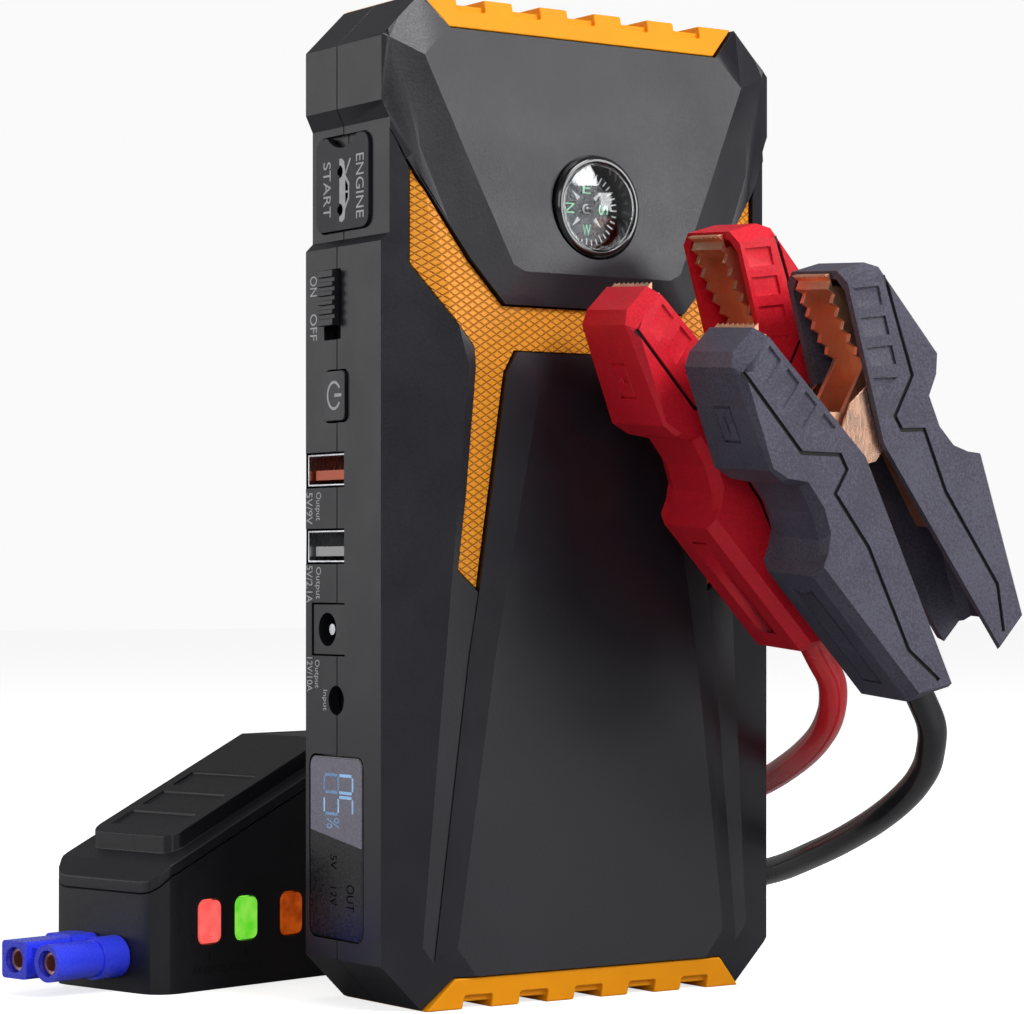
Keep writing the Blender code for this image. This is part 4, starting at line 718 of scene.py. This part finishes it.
# ---------------------------------------------------------------- leads
@dataclass
class Lead:
    """One silicone lead, from its clamp's handle round the pack into the smart module."""

    colour: str
    paint: Paint
    diameter: float = 5.5 * MM
    routes: dict[str, tuple[Point, ...]] = field(default_factory=lambda: {
        "red": ((0.0161, -0.0372, 0.0868), (0.0216, -0.0374, 0.0810), (0.0279, -0.0377, 0.0753),
                (0.0341, -0.0386, 0.0702), (0.0398, -0.0372, 0.0639), (0.0430, -0.0364, 0.0600),
                (0.0452, -0.0343, 0.0560), (0.0475, -0.0304, 0.0522), (0.0503, -0.0244, 0.0486),
                (0.0534, -0.0163, 0.0450), (0.0570, -0.0060, 0.0414), (0.0609, 0.0059, 0.0379),
                (0.0655, 0.0235, 0.0338), (0.0640, 0.0400, 0.0300), (0.0545, 0.0555, 0.0265),
                (0.0410, 0.0640, 0.0240), (0.0285, 0.0650, 0.0224), (0.0182, 0.0626, 0.0220),
                (0.0129, 0.0613, 0.0220)),
        "black": ((0.0211, -0.0616, 0.0780), (0.0266, -0.0618, 0.0722), (0.0329, -0.0621, 0.0665),
                  (0.0391, -0.0630, 0.0614), (0.0445, -0.0617, 0.0552), (0.0471, -0.0605, 0.0514),
                  (0.0493, -0.0577, 0.0475), (0.0518, -0.0534, 0.0435), (0.0544, -0.0461, 0.0388),
                  (0.0571, -0.0352, 0.0335), (0.0610, -0.0208, 0.0283), (0.0654, -0.0044, 0.0234),
                  (0.0712, 0.0165, 0.0182), (0.0738, 0.0370, 0.0150), (0.0705, 0.0560, 0.0145),
                  (0.0610, 0.0710, 0.0160), (0.0480, 0.0790, 0.0185), (0.0340, 0.0787, 0.0210),
                  (0.0154, 0.0742, 0.0220), (0.0101, 0.0730, 0.0220)),
    })

    def centreline(self, steps: int = 10) -> list[Vector]:
        """The smooth curve through the route.

        Args:
            steps: Points between two of the route's own.

        Returns:
            The points of the curve, in order.
        """
        places = [Vector(place) for place in self.routes[self.colour]]
        places = [2 * places[0] - places[1], *places, 2 * places[-1] - places[-2]]
        line = []
        for before, start, end, after in zip(places, places[1:], places[2:], places[3:]):
            for t in (step / steps for step in range(steps)):
                line.append(0.5 * (2 * start + (end - before) * t
                                   + (2 * before - 5 * start + 4 * end - after) * t ** 2
                                   + (3 * start - before - 3 * end + after) * t ** 3))
        return [*line, places[-2]]

    def build(self) -> None:
        """Build the lead as a round cord."""
        line = self.centreline()
        curve = bpy.data.curves.new(f"{self.colour}_lead", "CURVE")
        curve.dimensions = "3D"
        curve.bevel_depth = self.diameter / 2
        curve.bevel_resolution = 6
        curve.use_fill_caps = True
        spline = curve.splines.new("POLY")
        spline.points.add(len(line) - 1)
        for point, place in zip(spline.points, line):
            point.co = (*place, 1.0)
        spline.use_smooth = True
        lead = bpy.data.objects.new(curve.name, curve)
        bpy.context.scene.collection.objects.link(lead)
        curve.materials.append(self.paint.material())
        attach(lead, Body.LEADS.value)
        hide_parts(f"{self.colour}_cable")


# ---------------------------------------------------------------- pack
@dataclass
class PackCase:
    """The two shells of the pack with their inlay, bumpers and screws."""

    shell_edge: float = 0.45 * MM
    bumper_edge: float = 0.35 * MM
    screws: int = 4
    inset: float = 1.6 * MM
    rim: float = 7.0 * MM
    cavity_front: float = -16.8 * MM

    def build(self) -> None:
        """Build the case."""
        lowest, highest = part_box("front_shell")
        _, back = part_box("rear_shell")
        low, high = lowest.copy(), Vector((highest.x, back.y, highest.z))

        def outside(middle: Vector) -> bool:
            """Whether an edge lies on the outside of the case, and not in its cavity."""
            inside_x = low.x + self.inset < middle.x < high.x - self.inset
            inside_z = low.z + self.rim < middle.z < high.z - self.rim
            return not (inside_x and inside_z and self.cavity_front < middle.y < high.y - 1.0 * MM)

        Softened("front_shell", Body.PACK, Paint.CASE, self.shell_edge, 3, 8.0, 0.8 * MM,
                 outside).build()
        Softened("rear_shell", Body.PACK, Paint.CASE, self.shell_edge, 3, 20.0, 0.8 * MM,
                 outside).build()
        Softened("front_inlay", Body.PACK, Paint.LOZENGES, 0.12 * MM, 2).build()
        for node in ("top_bumper", "bottom_bumper"):
            Softened(node, Body.PACK, Paint.AMBER, self.bumper_edge, 3).build()
        for number in range(1, self.screws + 1):
            dress(f"case_screw_{number}", Paint.STEEL)


@dataclass
class SideFittings:
    """What sits in the pack's left side: cover, switch, button, sockets and display."""

    side: float = -45.0 * MM
    captions: tuple[tuple[str, str, float, float, float, float], ...] = (
        ("ON", "on", 9.4, 134.3, 3.8, 2.5), ("OFF", "off", 9.4, 126.6, 5.0, 2.5),
        ("Output", "quick_output", 7.85, 92.95, 5.3, 2.3), ("5V/9V", "quick_volts", 10.9, 92.6, 6.0, 2.2),
        ("Output", "plain_output", 7.85, 78.6, 6.0, 2.3), ("5V/2.1A", "plain_volts", 10.9, 78.4, 7.0, 2.2),
        ("Output", "dc_output", 8.3, 61.55, 5.3, 2.1), ("12V/10A", "dc_volts", 10.8, 61.4, 6.4, 2.0),
        ("Input", "dc_input", 5.4, 56.7, 3.9, 1.9))
    screen_edge: float = 0.3 * MM
    screen_corner: float = 1.6 * MM
    screen_split: Spot = (29.7 * MM, 32.4 * MM)
    digits: tuple[tuple[float, str], ...] = ((-3.7, "abcdefg"), (0.35, "afgcd"))
    digit_size: Spot = (3.2, 5.0)
    bar_trim: float = 0.32
    bar_width: float = 0.55 * MM
    screen_labels: tuple[tuple[str, str, float, float, float, float], ...] = (
        ("5V", "usb_label", 2.2, 26.7, 2.7, 2.2), ("12V", "dc_label", 2.2, 20.3, 3.5, 2.2),
        ("OUT", "out_label", -3.7, 20.4, 4.9, 2.7))

    def build(self) -> None:
        """Build the fittings from the top down."""
        Softened("socket_cover", Body.COVER, Paint.SOFT_BLACK, 0.25 * MM, 3).build()
        dress("jump_socket", Paint.BLUE)
        dress("jump_contact_positive", Paint.COPPER)
        dress("jump_contact_negative", Paint.COPPER)
        Softened("switch_knob", Body.SWITCH, Paint.KNOB, 0.12 * MM, 2).build()
        dress("switch_body", Paint.DARK)
        Softened("power_button", Body.BUTTON, Paint.KNOB, 0.2 * MM, 2).build()
        dress("tact_switch", Paint.DARK)
        for socket, tongue in (("quick_usb", Paint.TONGUE_ORANGE), ("plain_usb", Paint.TONGUE_PALE)):
            Softened(f"{socket}_shell", Body.PACK, Paint.STEEL, 0.1 * MM, 2).build()
            dress(f"{socket}_tongue", tongue)
        Softened("dc_output_jack", Body.PACK, Paint.KNOB, 0.2 * MM, 2).build()
        dress("dc_output_pin", Paint.STEEL)
        dress("dc_input_jack", Paint.DARK)
        Softened("display_window", Body.PACK, Paint.GLOSS_BLACK, 0.2 * MM, 2).build()
        dress("display_module", Paint.DARK)
        self.print_captions()
        self.print_cover()
        self.print_button()
        self.print_display()

    def spot(self, y: float, z: float) -> Vector:
        """A place on the side, from millimetres."""
        return Vector((self.side, y * MM, z * MM))

    def print_captions(self) -> None:
        """The words beside the switch and the sockets, reading downwards."""
        marks = Marks("rear_shell", Body.PACK, Facing.LEFT_SIDE_DOWN)
        for text, name, y, z, length, height in self.captions:
            marks.words(text, self.spot(y, z), (length * MM, height * MM), Paint.INK_WHITE, name)

    def print_cover(self) -> None:
        """The cover's two words and a plain car with its bonnet open."""
        marks = Marks("socket_cover", Body.COVER, Facing.LEFT_SIDE_DOWN)
        marks.words("ENGINE", self.spot(-5.6, 151.9), (11.9 * MM, 2.7 * MM), Paint.INK_WHITE, "engine")
        marks.words("START", self.spot(6.0, 152.1), (10.4 * MM, 2.6 * MM), Paint.INK_WHITE, "start")
        shell = [(-5.9, -1.3), (5.7, -1.3), (5.9, -0.4), (5.4, 0.5), (3.6, 0.8), (1.7, 2.2), (-1.2, 2.2),
                 (-2.7, 0.9), (-5.3, 0.4), (-5.9, -0.4)]
        windows = [[(-1.9, 0.8), (-0.8, 1.75), (0.2, 1.75), (0.2, 0.8)],
                   [(0.6, 0.8), (0.6, 1.75), (1.5, 1.75), (2.6, 0.8)]]
        wheels = [arc(1.2, 0, 350, 24, (x, -1.3)) for x in (-3.5, 3.6)]
        place = self.spot(0.3, 151.6)
        for outlines, paint, name, lift in (
                ([shell, stroke((-2.9, 0.8), (-5.7, 2.6), 0.4)], Paint.INK_WHITE, "car", 0.0),
                (windows + wheels, Paint.INK_DARK, "car_openings", 0.02),
                ([arc(0.75, 0, 350, 20, (x, -1.3)) for x in (-3.5, 3.6)], Paint.INK_WHITE,
                 "car_wheels", 0.04)):
            scaled = [[(x * MM, y * MM) for x, y in outline] for outline in outlines]
            marks.shapes(scaled, place - Vector((lift * MM, 0, 0)), paint, name)

    def print_button(self) -> None:
        """The power symbol: a ring with a gap and a bar in it."""
        marks = Marks("power_button", Body.BUTTON, Facing.LEFT_SIDE_DOWN)
        loop = [(x * 1.05, y * 0.95) for x, y in arc(2.35 * MM, 122, 418, 40)]
        marks.shapes([ribbon(loop, 0.5 * MM), stroke((0, 0.2 * MM), (0, 2.6 * MM), 0.6 * MM)],
                     self.spot(1.1, 113.45), Paint.INK_WHITE, "power_symbol")

    def print_display(self) -> None:
        """The lit screen with its charge figure over the black lower part."""
        self.print_screen()
        marks = Marks("display_window", Body.PACK, Facing.LEFT_SIDE_DOWN)
        lift = Vector((-0.03 * MM, 0, 0))
        marks.shapes(self.digit_bars(), self.spot(0.5, 39.2) + lift, Paint.DIGITS, "charge_figure")
        marks.words("%", self.spot(2.4, 33.9) + lift, (2.2 * MM, 4.6 * MM), Paint.DIGITS, "percent")
        for text, name, y, z, length, height in self.screen_labels:
            marks.words(text, self.spot(y, z) + lift, (length * MM, height * MM), Paint.INK_GREY, name)

    def digit_bars(self) -> list[list[Spot]]:
        """The lit bars of the two digits, each named by its letter from the top round."""
        bars = []
        width, half = self.digit_size
        for x, lit in self.digits:
            places = {"a": ((x + width, half), (x, half)), "g": ((x + width, 0), (x, 0)),
                      "d": ((x + width, -half), (x, -half)), "f": ((x, half), (x, 0)),
                      "b": ((x + width, half), (x + width, 0)), "e": ((x, 0), (x, -half)),
                      "c": ((x + width, 0), (x + width, -half))}
            for bar in lit:
                start, end = Vector(places[bar][0]), Vector(places[bar][1])
                trim = (end - start).normalized() * self.bar_trim
                bars.append(stroke(tuple((start + trim) * MM), tuple((end - trim) * MM), self.bar_width))
        return bars

    def print_screen(self) -> None:
        """The screen's pale upper part and its black lower part, split on a slant."""
        lowest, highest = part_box("display_window")
        edge, corner = self.screen_edge, self.screen_corner
        front, rear = lowest.y + edge, highest.y - edge
        low, high = lowest.z + edge, highest.z - edge
        middle = (lowest + highest) / 2
        split_front, split_rear = self.screen_split

        def rounded(y: float, z: float, start: float) -> list[Spot]:
            """A round corner of the screen."""
            return [(y - a, z + b) for a, b in arc(corner, start, start + 90, 6)]

        upper = (rounded(front + corner, high - corner, 0) + rounded(rear - corner, high - corner, 90)
                 + [(rear, split_rear), (front, split_front)])
        lower = (rounded(rear - corner, low + corner, 180) + rounded(front + corner, low + corner, 270)
                 + [(front, split_front), (rear, split_rear)])
        marks = Marks("display_window", Body.PACK, Facing.LEFT_SIDE)
        for outline, paint, name in ((upper, Paint.SCREEN_PALE, "screen"),
                                     (lower, Paint.SCREEN_BLACK, "lower_screen")):
            local = [(middle.y - y, z - middle.z) for y, z in outline]
            marks.shapes([local], middle, paint, name)


@dataclass
class Compass:
    """The compass in the upper panel. Shares are of its card's radius."""

    letters: tuple[tuple[str, float, float], ...] = (("N", 180.0, 90.0), ("E", 90.0, 0.0),
                                                     ("S", 0.0, -90.0), ("W", 270.0, 0.0))
    letter_size: Spot = (1.9 * MM, 2.1 * MM)
    letter_share: float = 0.54
    ticks: int = 36
    long_every: int = 3
    tick_shares: tuple[float, float, float] = (0.76, 0.80, 0.95)
    tick_width: float = 0.28 * MM
    arrows: int = 4
    arrow_shares: Spot = (0.36, 0.66)
    arrow_half: float = 0.45 * MM
    hub: float = 0.95 * MM
    seat_share: float = 0.55

    def build(self) -> None:
        """Build the compass."""
        Softened("compass_cup", Body.PACK, Paint.GLOSS_BLACK, 0.2 * MM, 2, 40.0).build()
        Softened("compass_dome", Body.PACK, Paint.DOME, 0.1 * MM, 2, 60.0).build()
        dress("compass_card", Paint.SCREEN_BLACK)
        dress("compass_pivot", Paint.STEEL)
        self.print_dial()

    def ray(self, degrees: float) -> Vector:
        """The direction across the dial at an angle from its right."""
        angle = math.radians(degrees)
        return Vector((math.cos(angle), math.sin(angle)))

    def tick(self, step: int, reach: float) -> list[Spot]:
        """One tick of the ring, every few of them longer."""
        ray = self.ray(360 / self.ticks * step)
        long, short, end = self.tick_shares
        start = short if step % self.long_every else long
        return stroke(tuple(ray * reach * start), tuple(ray * reach * end), self.tick_width)

    def arrow(self, step: int, reach: float) -> list[Spot]:
        """One small arrow between two of the letters."""
        ray = self.ray(45 + 360 / self.arrows * step)
        across = Vector((-ray.y, ray.x)) * self.arrow_half
        start, end = self.arrow_shares
        base = ray * reach * start
        return [tuple(base - across), tuple(ray * reach * end), tuple(base + across)]

    def print_dial(self) -> None:
        """Print the ring of ticks, the small arrows, the hub and the four letters."""
        lowest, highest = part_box("compass_card")
        middle = Vector((lowest + highest) / 2)
        reach = (highest.x - lowest.x) / 2
        seat = middle.copy()
        seat.x += reach * self.seat_share
        across = seat.x - middle.x
        marks = Marks("compass_card", Body.COMPASS, Facing.FRONT)
        for outlines, name in (
                ([self.tick(step, reach) for step in range(self.ticks)], "ticks"),
                ([self.arrow(step, reach) for step in range(self.arrows)], "small_arrows"),
                ([arc(self.hub, 0, 350, 30)], "hub")):
            beside = [[(x - across, y) for x, y in outline] for outline in outlines]
            marks.shapes(beside, seat, Paint.DIAL_WHITE, name)
        for letter, where, turn in self.letters:
            ray = self.ray(where)
            place = middle + Vector((ray.x, 0, ray.y)) * reach * self.letter_share
            marks.words(letter, place, self.letter_size, Paint.DIAL_GREEN, letter.lower(), turn)


@dataclass
class Insides:
    """The boards, the cells and their tray, unseen behind the shells."""

    cells: int = 3

    def build(self) -> None:
        """Dress what is inside."""
        for node in ("main_board", "protection_board", "module_board"):
            dress(node, Paint.BOARD)
        dress("cell_tray", Paint.TRAY)
        for number in range(1, self.cells + 1):
            dress(f"battery_cell_{number}", Paint.FOIL)


# ---------------------------------------------------------------- smart module
@dataclass
class SmartModule:
    """The smart module with its lamps and its blue two-pole plug."""

    place: Point = (-65.5 * MM, 32.2 * MM, 0.0)
    turn: float = 13.5

    def build(self) -> None:
        """Build the module."""
        Softened("module_case", Body.LEADS, Paint.MODULE, 0.5 * MM, 3, 20.0, 0.5 * MM).build()
        Softened("module_cover", Body.LEADS, Paint.MODULE, 0.45 * MM, 3, 14.0, 0.5 * MM).build()
        for colour, paint in (("red", Paint.LAMP_RED), ("green", Paint.LAMP_GREEN),
                              ("orange", Paint.LAMP_ORANGE)):
            Softened(f"module_light_{colour}", Body.LEADS, paint, 0.15 * MM, 2).build()
        Softened("module_plug", Body.LEADS, Paint.BLUE, 0.25 * MM, 2, 25.0).build()
        for pole in ("positive", "negative"):
            Softened(f"plug_contact_{pole}", Body.LEADS, Paint.COPPER, 0.08 * MM, 2, 30.0).build()
        self.print_side()

    def print_side(self) -> None:
        """A dark tick and a word under each of the first two lamps."""
        whole = Matrix.Translation(self.place) @ Matrix.Rotation(math.radians(self.turn), 4, "Z")
        marks = Marks("module_case", Body.LEADS, whole.to_3x3().to_4x4() @ Facing.FRONT.matrix())
        for start, word in ((10.3, "REVERSE"), (20.0, "CORRECT")):
            middle = start + 2.75
            tick = whole @ Vector((middle * MM, 0, 6.6 * MM))
            marks.shapes([stroke((0, -0.9 * MM), (0, 0.9 * MM), 0.3 * MM)], tick, Paint.INK_DARK,
                         f"{word.lower()}_tick")
            marks.words(word, whole @ Vector((middle * MM, 0, 4.0 * MM)), (8.6 * MM, 1.5 * MM),
                        Paint.INK_DARK, word.lower())


# ---------------------------------------------------------------- clamps
@dataclass
class Clamp:
    """One spring clamp: two moulded grips, two copper jaws, the rivet and the spring."""

    colour: str
    paint: Paint
    moving_body: Body
    sign: str
    place: Point
    turn: Point = (97.5, 57.7, 0.4)
    half_opening: float = 14.1
    half_width: float = 9.8 * MM
    windows: tuple[tuple[Spot, ...], ...] = (
        ((-25.9, 3.9), (-22.4, 3.9), (-21.4, 9.3), (-24.9, 9.3)),
        ((-20.4, 3.9), (-16.9, 3.9), (-15.9, 9.3), (-19.4, 9.3)),
        ((-14.9, 3.9), (-11.4, 3.9), (-10.4, 9.3), (-13.9, 9.3)),
        ((-9.4, 3.9), (-5.6, 3.9), (-8.0, 9.0)))
    groove: tuple[Spot, ...] = ((-26.3, 11.0), (-7.5, 12.1), (-1.5, 6.6), (1.4, 7.4), (2.7, 12.1),
                                (14.9, 13.7), (34.8, 20.4), (43.6, 19.5))
    window_depth: float = 0.45 * MM
    groove_depth: float = 0.55 * MM
    groove_width: float = 0.75
    # The dark strip in each zig-zag groove is painted shade: its width, thickness and how deep it is sunk.
    shade_line_width: float = 0.73
    shade_line_thickness: float = 0.25 * MM
    shade_line_sink: float = 0.7 * MM
    strap: tuple[Spot, ...] = ((-8.2, 3.4), (-6.0, -1.2), (-2.2, -4.0), (2.2, -4.2), (5.4, -1.6),
                               (5.6, 1.6), (3.2, 5.0), (-1.0, 7.4), (-5.5, 7.6))
    strap_thickness: float = 0.45 * MM
    strap_sink: float = 2.1 * MM

    def axes(self, fixed: bool) -> Matrix:
        """The axes of a half as it stands: along it, away from the other half, and the width."""
        turn = Euler([math.radians(angle) for angle in self.turn]).to_matrix().to_4x4()
        whole = Matrix.Translation(self.place) @ turn
        flip = -1 if fixed else 1
        open_by = Matrix.Rotation(math.radians(self.half_opening * -flip), 4, "Z")
        return whole @ open_by @ Matrix.Diagonal((1, flip, 1, 1))

    def carve(self, work: Workpiece, outlines: Sequence[Sequence[Spot]], seat: Matrix, depth: float
              ) -> None:
        """Sink flat outlines, in millimetres, into a face whose drawing lies at seat."""
        for outline in outlines:
            points = [(x * MM, y * MM) for x, y in outline]
            lift = Matrix.Translation((0, 0, -depth))
            work.cut(self.line_up(points, depth + 2 * MM, seat @ lift, "groove_tool"))

    def crown_seat(self, fixed: bool, start: Spot, end: Spot) -> Matrix:
        """A drawing plane on the outer face, along it from start to end, its middle between them."""
        first, last = Vector((*start, 0)) * MM, Vector((*end, 0)) * MM
        along = (last - first).normalized()
        out = Vector((-along.y, along.x, 0))
        local = Matrix((along, along.cross(out) * -1, out)).transposed().to_4x4()
        return self.axes(fixed) @ Matrix.Translation((first + last) / 2) @ local

    def build_grip(self, half: str, body: Body) -> None:
        """One grip with its windows, its zig-zag groove, its sign and its bare name frame, and a dark strip
        of painted shade laid in each groove.
        """
        fixed = half == "fixed"
        node = f"{self.colour}_{half}_grip"
        work = Workpiece.of_node(node, node + "_finished")
        work.round_edges(0.6 * MM, 3, 15.0, 1.0 * MM)
        axes = self.axes(fixed)
        for side in (1, -1):
            seat = (axes @ Matrix.Translation((0, 0, side * self.half_width))
                    @ Matrix.Diagonal((1, 1, side, 1)))
            self.carve(work, self.windows, seat, self.window_depth)
            self.carve(work, [ribbon(self.groove, self.groove_width)], seat, self.groove_depth)
        jaw = self.crown_seat(fixed, (-27.8, 11.4), (-9.6, 18.8))
        marks = frame_of((6.6, 5.2), 0.5) + [stroke((-1.6, 0), (1.6, 0), 0.7)]
        if self.sign == "+":
            marks.append(stroke((0, -1.6), (0, 1.6), 0.7))
        self.carve(work, marks, jaw @ Matrix.Translation((1.2 * MM, 0, 0)), 0.35 * MM)
        handle = self.crown_seat(fixed, (11.3, 24.6), (42.8, 26.0))
        self.carve(work, frame_of((23.0, 5.6), 0.5), handle, 0.35 * MM)
        work.smooth().finish(body, self.paint, (node,))
        # A thin dark strip sunk in each side's zig-zag groove: painted shade in the groove.
        for side, name in ((1, "near"), (-1, "far")):
            seat = axes @ Matrix.Diagonal((1, 1, side, 1)) @ Matrix.Translation(
                (0, 0, self.half_width - self.shade_line_sink))
            points = [(x * MM, y * MM) for x, y in ribbon(self.groove, self.shade_line_width)]
            self.line_up(points, self.shade_line_thickness, seat, f"{node}_{name}_groove").finish(body, Paint.DARK)

    def line_up(self, points: Sequence[Spot], thickness: float, seat: Matrix, name: str) -> Workpiece:
        """A flat outline made solid on a drawing plane, whichever way the plane is handed."""
        work = Workpiece.slab(points, thickness, seat, name)
        edit(work.piece, face_out)
        return work

    def build(self) -> None:
        """Build both halves and what joins them."""
        for half, body in (("fixed", Body.LEADS), ("moving", self.moving_body)):
            self.build_grip(half, body)
            Softened(f"{self.colour}_{half}_jaw", body, Paint.COPPER, 0.12 * MM, 2).build()
        dress(f"{self.colour}_hinge_pin", Paint.LIGHT_COPPER)
        dress(f"{self.colour}_spring", Paint.STEEL)
        self.build_strap()

    def build_strap(self) -> None:
        """The folded light strap that covers the rivet's near end."""
        axes = self.axes(False)
        for side, name in ((1, "near"), (-1, "far")):
            seat = (axes @ Matrix.Diagonal((1, 1, side, 1))
                    @ Matrix.Translation((0, 0, self.half_width - self.strap_sink)))
            points = [(x * MM, y * MM) for x, y in self.strap]
            work = self.line_up(points, self.strap_thickness, seat, f"{self.colour}_{name}_strap")
            work.round_edges(0.18 * MM, 2).smooth().finish(self.moving_body, Paint.LIGHT_COPPER)


# ---------------------------------------------------------------- studio
@dataclass
class Studio:
    """The camera, the pale floor and the soft lights."""

    eye: Point = (-0.36302, -0.51807, 0.07945)
    turn: float = -34.556
    lens: float = 115.04
    rise: float = 0.0698
    floor_size: float = 8.0
    surround: float = 0.2
    backdrop: float = 0.955
    lights: tuple[tuple[str, Point, float, float], ...] = (
        ("key_light", (0.30, -1.0, 1.0), 0.6, 15.0), ("side_light", (-1.0, 0.9, 0.35), 0.9, 4.0),
        ("sheen_light", (0.95, -1.25, 0.45), 0.5, 5.0), ("top_light", (-0.2, 0.1, 1.3), 0.7, 2.0),
        ("front_light", (-0.9, -1.0, 0.5), 0.6, 3.0))

    def build(self) -> None:
        """Set up everything round the object."""
        self.add_camera()
        self.add_floor()
        self.add_lights()

    def add_camera(self) -> None:
        """A level camera whose picture is moved up a little."""
        bpy.ops.object.select_all(action="DESELECT")
        bpy.ops.object.camera_add(location=self.eye,
                                  rotation=(math.radians(90), 0, math.radians(self.turn)))
        camera = bpy.context.object
        camera.name = "studio_camera"
        camera.data.lens = self.lens
        camera.data.sensor_width = 36.0
        camera.data.shift_y = self.rise
        camera.data.clip_start = 0.01
        bpy.context.scene.camera = camera

    def add_floor(self) -> None:
        """A wide white floor that glows a little, so that it runs into the surround."""
        bpy.ops.object.select_all(action="DESELECT")
        bpy.ops.mesh.primitive_plane_add(size=self.floor_size)
        floor = bpy.context.object
        floor.name = "studio_floor"
        shader = Shader("studio_white")
        seen = shader.node("LightPath").outputs["Is Camera Ray"]
        shader.link(shader.mix(seen, (0.30, 0.30, 0.31), (0.86, 0.86, 0.865)), "Base Color")
        shader.link(shader.ramp(seen, 0.0, 0.74, 0.0, 1.0), "Emission Strength")
        shader.set(Roughness=0.5, Emission_Color=(1.0, 1.0, 1.0))
        floor.data.materials.append(shader.material)

    def add_lights(self) -> None:
        """Large soft lights in a dim surround that is white behind the object."""
        bpy.context.scene.view_settings.view_transform = "Standard"
        world = bpy.data.worlds.new("studio_surround")
        bpy.context.scene.world = world
        world.use_nodes = True
        nodes, links = world.node_tree.nodes, world.node_tree.links
        seen = nodes.new("ShaderNodeLightPath").outputs["Is Camera Ray"]
        strength = nodes.new("ShaderNodeMapRange")
        strength.inputs["To Min"].default_value = self.surround
        strength.inputs["To Max"].default_value = self.backdrop
        links.new(seen, strength.inputs["Value"])
        links.new(strength.outputs["Result"], nodes["Background"].inputs["Strength"])
        nodes["Background"].inputs["Color"].default_value = (1.0, 1.0, 1.0, 1.0)
        for name, place, size, power in self.lights:
            bpy.ops.object.select_all(action="DESELECT")
            bpy.ops.object.light_add(type="AREA", location=place)
            lamp = bpy.context.object
            lamp.name = name
            lamp.data.size = size
            lamp.data.energy = power
            aim = Vector((0, 0, 0.09)) - Vector(place)
            lamp.rotation_euler = aim.to_track_quat("-Z", "Y").to_euler()


# ---------------------------------------------------------------- the whole object
def corners(lowest: Vector, highest: Vector) -> list[list[float]]:
    """A box as plain lists."""
    return [list(lowest), list(highest)]


def main() -> None:
    """Dress the pack, then the lead set, and stand them in the studio."""
    logging.basicConfig(level=logging.INFO, format="%(name)s: %(message)s")
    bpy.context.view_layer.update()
    Studio().build()
    for part in (Lead("red", Paint.RED_CABLE), Lead("black", Paint.BLACK_CABLE), PackCase(),
                 SideFittings(), Compass(), Insides(), SmartModule(),
                 Clamp("red", Paint.RED_GRIP, Body.RED_HALF, "+", (0.0163, -0.0392, 0.1146)),
                 Clamp("black", Paint.BLACK_GRIP, Body.BLACK_HALF, "-", (0.0213, -0.0636, 0.1058))):
        part.build()


if __name__ == "__main__":
    main()
